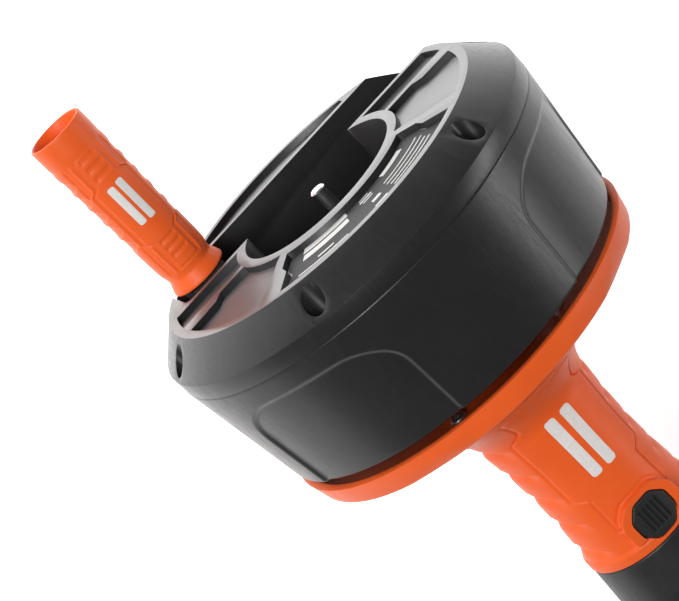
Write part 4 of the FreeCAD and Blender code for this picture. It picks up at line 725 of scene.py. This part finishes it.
def sleeve_relief(x, angle):
    """Raised pattern on both flats of the sleeve: a waisted plaque, its outline, a ladder and side notches."""
    sizes = settings().sleeve
    out = -x / MM
    arc = np.abs((angle + math.pi / 2) % math.pi - math.pi / 2) * PATTERN_RADIUS
    along = np.abs(out - PATTERN_MIDDLE)
    plaque_half = WAISTED_HALF + WAISTED_WIDER * step(WAISTED_WIDE_TO - along, 3.0)
    plaque = step(plaque_half - arc, 0.7) * step(WAISTED_END - along, 0.8)
    frame_half = plaque_half + FRAME_GAP
    frame_out = step(frame_half - arc, 0.7) * step(FRAME_END - along, 0.8)
    frame_in = step(frame_half - FRAME_WIDTH - arc, 0.7) * step(FRAME_END - FRAME_WIDTH - along, 0.8)
    outline = frame_out * (1 - frame_in)
    ladder = np.zeros_like(out)
    for place, half in LADDER:
        ladder = np.maximum(ladder, step(half - np.abs(out - place), 0.6) * step(LADDER_HALF - arc, 0.6))
    notch = np.zeros_like(out)
    flare = (arc - SIDE_FROM) / 5.0 * 2.6
    for i in range(NOTCHES):
        place = NOTCH_FIRST + sizes.notch_pitch / MM * i
        notch = np.maximum(notch, step(flare + 0.6 - np.abs(out - place), 1.1) * step(arc - 12.4, 0.9))
    side = step(arc - SIDE_FROM, 0.9) * step(SIDE_END - along, 1.2)
    pattern = 0.62 * plaque + 0.9 * outline - 0.7 * ladder * plaque + 0.75 * side - 1.0 * notch * side
    return sizes.relief * pattern


def build_sleeve():
    """The crank's hollow hand sleeve."""
    profile = []
    for x, r in resample([(-x * MM, r * MM) for x, r in SLEEVE_LINE], SLEEVE_SPACING):
        inward = np.clip((x - RELIEF_FROM) / RELIEF_FADE, 0, 1)
        outward = np.clip((RELIEF_TO - x) / RELIEF_FADE, 0, 1)
        profile.append((x, r, float(inward * outward)))
    profile += mm(SLEEVE_BORE)
    piece = lathe("crank_sleeve_visual", profile, sleeve_relief, SLEEVE_SEGMENTS, "tool_orange",
                  SLEEVE_Y, SLEEVE_Z)
    settle(piece, "sleeve", "tool_orange", "crank_sleeve")


# ---------------------------------------------------------------- flange, grip and nose
FLANGE_ROUND = 0.0006


def build_flange():
    """The guard flange with rounded edges."""
    piece = rounded_copy("flange_plate", "flange_visual", FLANGE_ROUND, 3, "tool_orange")
    settle(piece, "grip", "tool_orange", "flange_plate")


GRIP_COLLAR = [(105.0, 50.2), (105.3, 50.5), (109.0, 50.5), (109.6, 50.2), (110.0, 49.5)]
GRIP_END = [(199.5, 29.1), (200.2, 29.7), (201.0, 29.95), (204.2, 30.0), (204.7, 29.8), (205.0, 29.3)]
ROOT_AT, ROOT_RADIUS, FLARE = 110.0, 49.5, 2.4
NECK_AT, NECK_RADIUS, NECK_END = 134.0, 28.9, 199.0
WAIST_AT, WAIST_RADIUS, WAIST_RISE, WAIST_HALF = 167.0, 26.9, 2.0, 33.0
GRIP_SPACING, GRIP_SEGMENTS, GRIP_WALL = 0.42, 280, 3.0

# the plaque on the grip's top: where it starts, widens, narrows and ends
PLAQUE_START, PLAQUE_WIDE_FROM, PLAQUE_WIDE_TO, PLAQUE_END = 115.0, 128.3, 169.1, 189.3
PLAQUE_HALF, PLAQUE_WIDER, PLAQUE_SLOPE, PLAQUE_BLEND = 14.4, 5.4, 4.6, 2.0
TOP_RADIUS, DIAGONAL = 28.0, 0.7071

# the finger lobes: their first crease, how it slants per degree, its slow and steep sides, and the row's ends
LOBE_FIRST, LOBE_SLANT, LOBE_SLOW, LOBE_STEEP = 127.5, 0.15, 3.6, 0.7
LOBE_ROW_START, LOBE_ROW_END = 124.5, 199.5
LOBE_HALF_TURN, LOBE_FADE_TURN = 33.0, 16.0

# the button, its opening, and the flat pad round it, as half lengths, half widths and corners
BUTTON_AT = 193.4
BUTTON_SIZE = (9.6, 10.1, 5.4)
BUTTON_HOLE = (9.85, 10.35, 5.5)
BUTTON_CORNER_ROUND = 2.0
BUTTON_SKIRT, BUTTON_CROWN, BUTTON_EDGE = 7.0, 0.012, 0.9
GROOVE_DEPTH, GROOVE_REACH = 0.9, 5.9
STEM_RADIUS, STEM_OVERLAP = 2.8, 0.4
PAD_HALF_LONG, PAD_HALF_WIDE, PAD_DIAGONAL, PAD_RADIUS = 12.3, 12.8, 19.5, 29.7
CUT_LOW, CUT_HIGH = 5.0, 60.0


def grip_outer():
    """The grip's outline without its lobes, from its collar to its front."""
    line = list(GRIP_COLLAR)
    for i in range(1, 25):
        t = i / 24
        radius = NECK_RADIUS + (ROOT_RADIUS - NECK_RADIUS) * (1 - t) ** FLARE
        line.append((ROOT_AT + (NECK_AT - ROOT_AT) * t, radius))
    for i in range(1, 40):
        x = NECK_AT + (NECK_END - NECK_AT) * i / 39
        line.append((x, WAIST_RADIUS + WAIST_RISE * ((x - WAIST_AT) / WAIST_HALF) ** 2))
    return resample(line + GRIP_END, GRIP_SPACING)


GRIP_SHAPE = grip_outer()


def grip_radius(at):
    """Radius of the plain grip at a place along it, in millimetres."""
    return np.interp(at, [x for x, r in GRIP_SHAPE], [r for x, r in GRIP_SHAPE])


def grip_plaque(x, angle):
    """How far inside the plaque's edge a place on the grip is, in millimetres."""
    at = x / MM
    wide = step(at - PLAQUE_WIDE_FROM, PLAQUE_SLOPE) * step(PLAQUE_WIDE_TO - at, PLAQUE_SLOPE)
    across = np.abs(np.sin(angle)) * TOP_RADIUS
    inside = soft_min(PLAQUE_HALF + PLAQUE_WIDER * wide - across, at - PLAQUE_START, PLAQUE_BLEND)
    return np.where(np.cos(angle) > 0, soft_min(inside, PLAQUE_END - at, PLAQUE_BLEND), -9.0)


def grip_relief(x, angle):
    """Finger lobes on both sides of the grip, the plaque with its groove, and the flat pad round the button."""
    sizes = settings().grip
    at = x / MM
    from_side = np.abs(np.abs((np.degrees(angle) + 180) % 360 - 180) - 90.0)
    slant = at - from_side * LOBE_SLANT
    pitch = sizes.lobe_pitch / MM
    place = (slant - LOBE_FIRST) / pitch
    crease = (place - np.round(place)) * pitch
    valley = np.exp(-(crease / np.where(crease > 0, LOBE_SLOW, LOBE_STEEP)) ** 2)
    row = step(slant - LOBE_ROW_START, 6.0) * step(LOBE_ROW_END - slant, 8.0)
    lobes = -sizes.lobe_depth * valley * row * step(LOBE_HALF_TURN - from_side, LOBE_FADE_TURN)
    inside = grip_plaque(x, angle)
    plaque = sizes.plaque_height * step(inside, 0.7)
    groove = -0.0005 * np.exp(-((inside + 0.9) / 0.5) ** 2) * step(at - 108.0, 6.0)
    across = np.abs(np.sin(angle)) * TOP_RADIUS
    along = np.abs(at - BUTTON_AT)
    pad = soft_min(soft_min(PAD_HALF_WIDE - across, PAD_HALF_LONG - along, 1.5),
                   (PAD_DIAGONAL - across - along) * DIAGONAL, 2.5)
    upper = np.cos(angle) > 0
    top = np.where(upper, step(pad, 1.0), 0.0)
    moat = np.where(upper, -0.0004 * np.exp(-((pad + 1.2) / 0.8) ** 2) * step(197.0 - at, 4.0), 0.0)
    flat_r = PAD_RADIUS / np.maximum(np.cos(angle), 0.5)
    lift = np.clip(flat_r - grip_radius(at), 0.0, None) * MM * top
    return (lobes + plaque + groove + moat) * (1 - top) + lift


def octagon(half_x, half_y, corner):
    right = [(half_x, half_y - corner), (half_x - corner, half_y), (corner - half_x, half_y),
             (-half_x, half_y - corner)]
    return right + [(x, -y) for x, y in right[::-1]]


def rounded_octagon(half_x, half_y, corner, radius=BUTTON_CORNER_ROUND, steps=5):
    """An octagon with its eight corners rounded."""
    corners = [Vector(point) for point in octagon(half_x, half_y, corner)]
    points = []
    for before, here, after in zip(corners[-1:] + corners[:-1], corners, corners[1:] + corners[:1]):
        reach = min(radius, (before - here).length * 0.46, (after - here).length * 0.46)
        start = here + (before - here).normalized() * reach
        end = here + (after - here).normalized() * reach
        for i in range(steps + 1):
            t = i / steps
            place = start * (1 - t) ** 2 + here * (2 * t * (1 - t)) + end * t ** 2
            points.append((place.x, place.y))
    return points


def prism(name, outline, low, high):
    """A straight prism along Z over an outline (x, y), in millimetres of the tool's frame."""
    n = len(outline)
    points = [(REAR_X + x * MM, y * MM, AXIS_Z + z * MM) for z in (low, high) for x, y in outline]
    faces = [tuple(range(n))[::-1], tuple(range(n, 2 * n))]
    faces += [(i, (i + 1) % n, n + (i + 1) % n, n + i) for i in range(n)]
    return finish_mesh(name, points, faces, "tool_orange", smooth=False)


def button_opening(name):
    """The shape that makes room for the button."""
    outline = [(BUTTON_AT + x, y) for x, y in rounded_octagon(*BUTTON_HOLE)]
    return prism(name, outline, CUT_LOW, CUT_HIGH)


def round_post(name, x, y, radius, low, high, count=32):
    ring = [(x + radius * math.cos(2 * math.pi * k / count), y + radius * math.sin(2 * math.pi * k / count))
            for k in range(count)]
    return prism(name, ring, low, high)


def grip_half(name, turn):
    """Half of the grip's shell between two turns from the top."""
    profile = [(x * MM, r * MM, 1.0 if 110.5 < x < 199.0 else 0.0) for x, r in GRIP_SHAPE]
    inner = [(x, min(r - GRIP_WALL, 33.5)) for x, r in GRIP_SHAPE if 113.0 < x < 204.0]
    profile += mm([(205.0, 26.6)] + inner[::-16] + [(111.0, 33.5), (105.0, 33.5)])
    return lathe(name, profile, grip_relief, GRIP_SEGMENTS, "tool_orange", turn=turn)


def build_grip_top():
    piece = grip_half("grip_top_visual", (-90.0, 90.0))
    cut(piece, [button_opening("button_hole")])
    settle(piece, "grip", "tool_orange", "grip_top")


# screw wells under the grip and the nose's overlap, as (x, y, radius)
WELLS = [(130.0, 19.4, 3.4), (130.0, -19.4, 3.4), (170.0, 15.5, 3.4), (170.0, -15.5, 3.4), (199.4, 9.0, 3.2),
         (199.4, -9.0, 3.2)]
WELL_LOW, WELL_HIGH = -60.0, -8.0


def build_grip_bottom():
    piece = grip_half("grip_bottom_visual", (90.0, 270.0))
    cut(piece, [round_post("well", x, y, radius, WELL_LOW, WELL_HIGH) for x, y, radius in WELLS])
    settle(piece, "grip", "tool_orange", "grip_bottom")


def build_button():
    """Octagonal thumb button with round corners, a crowned top and long grooves, and its stem."""
    sizes = settings().grip
    half_x, half_y, corner = BUTTON_SIZE
    edge = sorted(point for point in rounded_octagon(*BUTTON_SIZE) if point[1] > 0)
    steps_x = np.linspace(-half_x, half_x, 121)
    limits = np.interp(steps_x, [x for x, y in edge], [y for x, y in edge])
    x, share = np.meshgrid(steps_x, np.linspace(-1, 1, 141), indexing="ij")
    y = share * limits[:, None]
    along, across = np.abs(x), np.abs(y)
    inside = np.minimum(np.minimum(half_x - along, limits[:, None] - across),
                        (half_x + half_y - corner - along - across) * DIAGONAL)
    top = (BUTTON_HIGH.z - AXIS_Z) / MM
    low = (BUTTON_LOW.z - AXIS_Z) / MM
    skirt = top - BUTTON_SKIRT
    z = top - BUTTON_CROWN * y * y - BUTTON_EDGE * (1 - np.clip(inside / BUTTON_EDGE, 0.0, 1.0)) ** 2
    span = 2 * half_y - 2 * corner
    half_groove = sizes.groove_width / MM / 2
    for i in range(sizes.grooves):
        middle = span * i / (sizes.grooves - 1) - span / 2
        z = z - GROOVE_DEPTH * step(GROOVE_REACH - along, 0.7) * np.exp(-((y - middle) / half_groove) ** 4)
    points = np.stack([REAR_X + (BUTTON_AT + x) * MM, y * MM, AXIS_Z + z * MM], -1).reshape(-1, 3).tolist()
    faces = grid_faces(*x.shape)
    border = grid_border(*x.shape)
    first, count = len(points), len(border)
    points += [[points[i][0], points[i][1], AXIS_Z + skirt * MM] for i in border]
    for n, here in enumerate(border):
        m = (n + 1) % count
        faces.append((border[m], here, first + n, first + m))
    faces.append(tuple(range(first, first + count))[::-1])
    piece = finish_mesh("thumb_button_visual", points, faces, "button_black", sharp=50.0)
    settle(piece, "button", "button_black", "thumb_button")
    stem = round_post("thumb_button_stem", BUTTON_AT, 0.0, STEM_RADIUS, low, skirt + STEM_OVERLAP, 40)
    stem.data.materials[0] = FINISH["button_black"]
    settle(stem, "button", "button_black")


NOSE_LINE = [(205.2, 29.2), (205.4, 29.55), (205.8, 29.7), (226.0, 31.2), (232.0, 31.05), (238.0, 30.8),
             (239.2, 30.4), (241.0, 28.2), (256.0, 16.0), (261.0, 13.6), (262.0, 13.0)]
NOSE_INSIDE = [(261.6, 12.2), (261.6, 9.05), (253.0, 9.05), (253.0, 12.2), (238.0, 23.3), (209.2, 23.3),
               (209.2, 21.0), (195.0, 21.0), (195.0, 24.35), (205.2, 24.35)]
FLUTE_DEPTH, FLUTE_START, FLUTE_END, FLUTE_NARROW, FLUTES_FROM = 0.0009, 234.6, 242.0, 9.0, 230.0


def nose_relief(x, angle):
    """Finger flutes round the front of the nose."""
    share = np.abs(np.sin(angle * settings().grip.flutes / 2 + math.pi / 2))
    flute = np.clip(1 - (1 - share) * FLUTE_NARROW, 0.0, 1.0)
    at = x / MM
    return -FLUTE_DEPTH * flute * step(at - FLUTE_START, 2.8) * step(FLUTE_END - at, 2.0)


def build_nose():
    """The fluted nose, with room for the button over the grip."""
    profile = [(x * MM, r * MM, 1.0 if x > FLUTES_FROM else 0.0) for x, r in resample(NOSE_LINE, 0.5)]
    piece = lathe("nose_cap_visual", profile + mm(NOSE_INSIDE), nose_relief, 288, "nose_black")
    cut(piece, [button_opening("nose_room")])
    settle(piece, "grip", "nose_black", "nose_cap")


# ---------------------------------------------------------------- plain print
def bar(name, surface, long, wide, corner, thick, columns=48, rows=12):
    """A thin closed slab with rounded corners. surface(u, v, lift) gives a place in metres."""
    end = long / 2 - corner
    round_end = corner * (1 - np.cos(np.linspace(0, math.pi / 2, 8)))
    us = np.concatenate([-long / 2 + round_end, np.linspace(-end, end, columns)[1:-1],
                         (long / 2 - round_end)[::-1]])
    points = []
    for lift in (thick, 0.0):
        for u in us:
            over = max(0.0, abs(u) - end)
            half = wide / 2 - corner + math.sqrt(max(0.0, corner ** 2 - over ** 2))
            points += [surface(u, half * (2 * k / rows - 1), lift) for k in range(rows + 1)]
    total = len(us) * (rows + 1)
    faces = grid_faces(len(us), rows + 1)
    faces += [tuple(total + i for i in face[::-1]) for face in faces]
    border = grid_border(len(us), rows + 1)
    faces += [(p, q, total + q, total + p) for p, q in zip(border, border[1:] + border[:1])]
    return finish_mesh(name, points, faces, "print", sharp=50.0)


def join(name, pieces):
    """Several loose meshes as one piece."""
    shape = bmesh.new()
    for piece in pieces:
        shape.from_mesh(piece.data)
    mesh = bpy.data.meshes.new(name)
    shape.to_mesh(mesh)
    shape.free()
    mesh.materials.append(pieces[0].data.materials[0])
    for piece in pieces:
        bpy.data.objects.remove(piece)
    return link_new(name, mesh)


PRINT_GAP, PRINT_THICK = 0.00002, 0.00006
SLEEVE_PRINT_AT, SLEEVE_PRINT_RADIUS, SLEEVE_BARS = 45.2, 0.0128, ((2.3, 21.4), (-2.6, 20.6))
GRIP_PRINT_RADIUS, GRIP_PRINT_THICK, GRIP_BARS = 0.0285, 0.00008, ((3.9, 147.6), (-4.5, 147.2))


def build_sleeve_print():
    """Two plain light bars along the sleeve's upper plaque."""
    bars = []
    for across, long in SLEEVE_BARS:
        def surface(u, v, lift, across=across):
            out = SLEEVE_PRINT_AT * MM + u
            base = np.interp(out / MM, [p[0] for p in SLEEVE_LINE], [p[1] for p in SLEEVE_LINE]) * MM
            turn = (across * MM + v) / SLEEVE_PRINT_RADIUS
            radius = base + sleeve_relief(np.array([-out]), np.array([turn]))[0] + PRINT_GAP + lift
            return (REAR_X - out, SLEEVE_Y + radius * math.sin(turn), SLEEVE_Z + radius * math.cos(turn))
        bars.append(bar("sleeve_bar", surface, long * MM, 3.4 * MM, 1.0 * MM, PRINT_THICK))
    settle(join("sleeve_print", bars), "sleeve", "tool_orange")


def build_grip_print():
    """Two plain light bars along the grip's plaque."""
    bars = []
    for across, along in GRIP_BARS:
        def surface(u, v, lift, across=across, along=along):
            at = along + u / MM
            turn = (across * MM + v) / GRIP_PRINT_RADIUS
            relief = grip_relief(np.array([at * MM]), np.array([turn]))[0]
            radius = grip_radius(at) * MM + relief + PRINT_GAP + lift
            return (REAR_X + at * MM, radius * math.sin(turn), AXIS_Z + radius * math.cos(turn))
        bars.append(bar("grip_bar", surface, 33.5 * MM, 5.4 * MM, 1.6 * MM, GRIP_PRINT_THICK))
    settle(join("grip_print", bars), "grip", "tool_orange")


# marks on the label as (radius, first and last turn in degrees from the top, width), in millimetres
LABEL_MARKS = [
    (48.6, -35.0, -8.5, 4.6), (55.0, -34.0, -9.5, 4.6), (64.2, -26.0, -18.6, 1.3), (68.3, -34.5, -12.8, 1.0),
    (49.4, 15.5, 33.0, 3.4), (57.6, 10.3, 36.2, 0.8), (61.2, 9.6, 35.4, 0.8), (64.8, 9.6, 33.2, 0.8),
    (68.0, 9.4, 32.6, 0.8), (62.0, 1.0, 5.4, 2.6), (68.8, -0.4, 5.4, 1.2), (52.1, -1.4, 6.0, 1.2),
    (49.6, -0.6, 5.2, 0.8), (54.6, -0.6, 5.2, 0.8),
]


def build_label_print():
    """Plain light marks on the label: bars, thin rows and small squares, all on arcs round the axis."""
    face = LABEL_LOW.x - PRINT_GAP
    bars = []
    for middle, first, last, wide in LABEL_MARKS:
        def surface(u, v, lift, middle=middle, half_turn=math.radians(first + last) / 2):
            turn = half_turn + u / (middle * MM)
            radius = middle * MM + v
            return (face - lift, radius * math.sin(turn), AXIS_Z + radius * math.cos(turn))
        long = math.radians(last - first) * middle
        corner = min(0.3, wide / 3)
        bars.append(bar("label_bar", surface, long * MM, wide * MM, corner * MM, PRINT_THICK, 16, 2))
    settle(join("label_print", bars), "drum", "label_grey")


# ---------------------------------------------------------------- stage
FLOOR_SIDES, FLOOR_RINGS, FLOOR_LOW = 96, (0.4, 1.0, 2.2), -0.0002
# the floor gives off most light round GLOW_AT, a painted pool of light for the rear face to reflect, and less
# under the drum, where it stands, a painted contact shadow
GLOW_AT, GLOW_NEAR, GLOW_FAR, GLOW_MOST, GLOW_LEAST = (-0.25, 0.02, 0.0), 0.10, 0.42, 1.55, 0.58
UNDER_REAR, UNDER_FRONT, UNDER_SIDE = (-0.112, -0.088), (-0.03, 0.03), (0.01, 0.075)
LIGHTS_AIM = (0, 0, 0.1)
SKY_LOW, SKY_HIGH, SKY_HORIZON, SKY_ZENITH = 0.05, 0.6, 0.30, 0.09
CAMERA_AT = (-0.4308, -0.1979, 1.2219)
CAMERA_TURN = ((0.67386, -0.67331, -0.30424), (0.66613, 0.73178, -0.14409), (0.31965, -0.10557, 0.94163))


def area_light(name, where, size, size_y, power):
    lamp = bpy.data.lights.new(name, "AREA")
    lamp.shape = "RECTANGLE"
    lamp.size = size
    lamp.size_y = size_y
    lamp.energy = power
    light = link_new(name, lamp)
    light.location = where
    light.rotation_euler = (Vector(LIGHTS_AIM) - Vector(where)).to_track_quat("-Z", "Y").to_euler()
    light.visible_camera = False
    return light


def floor_finish():
    """Pale floor that gives off most light in front of the drum, a painted pool of light, and less under it, a
    painted contact shadow.
    """
    material, tree, shader = new_material("pale_floor")
    where = place(tree)
    tone = noise(tree, where, 3.0, 3.0, 0.5)
    feed(tree, blend_colours(tree, tone, (0.84, 0.84, 0.84), (0.88, 0.88, 0.88)), shader.inputs["Base Color"])
    shader.inputs["Roughness"].default_value = 0.9
    shader.inputs["Specular IOR Level"].default_value = 0.0
    shader.inputs["Emission Color"].default_value = (1, 1, 1, 1)
    reach = put(tree, "ShaderNodeVectorMath", operation="DISTANCE")
    reach.inputs[1].default_value = GLOW_AT
    feed(tree, where, reach.inputs[0])
    # painted pool of light round GLOW_AT
    glow = ramp(tree, reach.outputs["Value"], GLOW_NEAR, GLOW_FAR, GLOW_MOST, GLOW_LEAST)
    parts = put(tree, "ShaderNodeSeparateXYZ")
    feed(tree, where, parts.inputs["Vector"])
    # painted contact shadow: the floor glows less under the drum
    under_rear = ramp(tree, parts.outputs["X"], *UNDER_REAR, 0.0, 1.0)
    under_front = ramp(tree, parts.outputs["X"], *UNDER_FRONT, 1.0, 0.0)
    under_side = ramp(tree, calc(tree, "ABSOLUTE", parts.outputs["Y"]), *UNDER_SIDE, 1.0, 0.0)
    contact = calc(tree, "MULTIPLY", calc(tree, "MULTIPLY", under_rear, under_front), under_side)
    strength = calc(tree, "MULTIPLY", glow, calc(tree, "SUBTRACT", 1.0, contact))
    feed(tree, strength, shader.inputs["Emission Strength"])
    return material


def build_floor():
    mesh = bpy.data.meshes.new("floor")
    points = [(0.0, 0.0, 0.0)]
    rings = FLOOR_RINGS + (settings().stage.floor_radius,)
    for r in rings:
        turns = [2 * math.pi * k / FLOOR_SIDES for k in range(FLOOR_SIDES)]
        points += [(r * math.cos(turn), r * math.sin(turn), 0.0) for turn in turns]
    faces = []
    for k in range(FLOOR_SIDES):
        m = (k + 1) % FLOOR_SIDES
        faces.append((0, 1 + k, 1 + m))
        for i in range(len(rings) - 1):
            a, b = 1 + i * FLOOR_SIDES, 1 + (i + 1) * FLOOR_SIDES
            faces.append((a + k, b + k, b + m, a + m))
    mesh.from_pydata(points, [], faces)
    mesh.materials.append(floor_finish())
    floor = link_new("floor", mesh)
    floor.location.z = FLOOR_LOW
    return floor


def build_sky():
    """Faint light from all round, weakest overhead."""
    world = bpy.data.worlds.new("studio")
    world.use_nodes = True
    sky = world.node_tree
    height = put(sky, "ShaderNodeSeparateXYZ")
    feed(sky, put(sky, "ShaderNodeTexCoord").outputs["Generated"], height.inputs["Vector"])
    back = sky.nodes["Background"]
    back.inputs["Color"].default_value = (1, 1, 1, 1)
    strength = ramp(sky, height.outputs["Z"], SKY_LOW, SKY_HIGH, SKY_HORIZON, SKY_ZENITH)
    feed(sky, strength, back.inputs["Strength"])
    bpy.context.scene.world = world


def build_camera():
    lens = bpy.data.cameras.new("camera")
    lens.sensor_width = 36.0
    lens.lens = settings().stage.lens
    camera = link_new("camera", lens)
    camera.matrix_world = Matrix.Translation(CAMERA_AT) @ Matrix(CAMERA_TURN).to_4x4()
    bpy.context.scene.camera = camera
    return camera


def build_stage():
    floor = build_floor()
    lights = [
        area_light("key", (-0.85, -1.05, 1.75), 0.9, 0.9, 43.0),
        area_light("side", (0.6, 1.7, 1.1), 1.2, 0.6, 14.0),
    ]
    build_sky()
    camera = build_camera()
    bpy.context.scene.view_settings.view_transform = "Standard"


# ---------------------------------------------------------------- operators
class DRAIN_OT_finishes(Operator):
    """Make the finishes and give each CAD node its own"""
    bl_idname = "drain.finishes"
    bl_label = "Finishes"

    def execute(self, context):
        make_finishes()
        finish_cad_nodes()
        return {"FINISHED"}


class DRAIN_OT_drum(Operator):
    """Build the drum's shell and its rear cover"""
    bl_idname = "drain.drum"
    bl_label = "Drum"

    def execute(self, context):
        build_shell()
        build_cover()
        return {"FINISHED"}


class DRAIN_OT_cover_screws(Operator):
    """Set the screws out round the rear cover"""
    bl_idname = "drain.cover_screws"
    bl_label = "Cover screws"

    def execute(self, context):
        build_cover_screws()
        return {"FINISHED"}


class DRAIN_OT_bulb(Operator):
    """Wind the bulb at the cable's tip"""
    bl_idname = "drain.bulb"
    bl_label = "Cable tip"

    def execute(self, context):
        build_bulb()
        return {"FINISHED"}


class DRAIN_OT_sleeve(Operator):
    """Build the crank's sleeve with its raised pattern"""
    bl_idname = "drain.sleeve"
    bl_label = "Crank sleeve"

    def execute(self, context):
        build_sleeve()
        return {"FINISHED"}


class DRAIN_OT_flange(Operator):
    """Build the guard flange"""
    bl_idname = "drain.flange"
    bl_label = "Flange"

    def execute(self, context):
        build_flange()
        return {"FINISHED"}


class DRAIN_OT_grip(Operator):
    """Build both halves of the grip"""
    bl_idname = "drain.grip"
    bl_label = "Grip"

    def execute(self, context):
        build_grip_top()
        build_grip_bottom()
        return {"FINISHED"}


class DRAIN_OT_button(Operator):
    """Build the thumb button"""
    bl_idname = "drain.button"
    bl_label = "Thumb button"

    def execute(self, context):
        build_button()
        return {"FINISHED"}


class DRAIN_OT_nose(Operator):
    """Build the fluted nose"""
    bl_idname = "drain.nose"
    bl_label = "Nose"

    def execute(self, context):
        build_nose()
        return {"FINISHED"}


class DRAIN_OT_print(Operator):
    """Lay the plain light print on the sleeve, the grip and the label"""
    bl_idname = "drain.print"
    bl_label = "Plain print"

    def execute(self, context):
        build_sleeve_print()
        build_grip_print()
        build_label_print()
        return {"FINISHED"}


class DRAIN_OT_stage(Operator):
    """Set out the floor, the lights and the camera"""
    bl_idname = "drain.stage"
    bl_label = "Stage"

    def execute(self, context):
        build_stage()
        return {"FINISHED"}


STEPS = (DRAIN_OT_finishes, DRAIN_OT_drum, DRAIN_OT_cover_screws, DRAIN_OT_bulb, DRAIN_OT_sleeve,
         DRAIN_OT_flange, DRAIN_OT_grip, DRAIN_OT_button, DRAIN_OT_nose, DRAIN_OT_print, DRAIN_OT_stage)


class DRAIN_PT_panel(Panel):
    bl_idname = "DRAIN_PT_panel"
    bl_label = "Drain Snake"
    bl_space_type = "VIEW_3D"
    bl_region_type = "UI"
    bl_category = "Drain Snake"

    def draw(self, context):
        for item in STEPS:
            self.layout.operator(item.bl_idname)
        values = context.scene.drain_snake
        for group in (values.drum, values.grip, values.sleeve, values.colours, values.stage):
            box = self.layout.box()
            for name in group.bl_rna.properties.keys():
                if name not in ("rna_type", "name"):
                    box.prop(group, name)


GROUPS = (DrumSizes, GripSizes, SleeveSizes, Colours, StageSizes, DrainSnakeSettings)
CLASSES = GROUPS + STEPS + (DRAIN_PT_panel,)


def register():
    for item in CLASSES:
        bpy.utils.register_class(item)
    bpy.types.Scene.drain_snake = PointerProperty(type=DrainSnakeSettings)


def unregister():
    del bpy.types.Scene.drain_snake
    for item in reversed(CLASSES):
        bpy.utils.unregister_class(item)


def main():
    register()
    bpy.ops.drain.finishes()
    bpy.ops.drain.drum()
    bpy.ops.drain.cover_screws()
    bpy.ops.drain.bulb()
    bpy.ops.drain.sleeve()
    bpy.ops.drain.flange()
    bpy.ops.drain.grip()
    bpy.ops.drain.button()
    bpy.ops.drain.nose()
    bpy.ops.drain.print()
    bpy.ops.drain.stage()


if __name__ == "__main__":
    main()
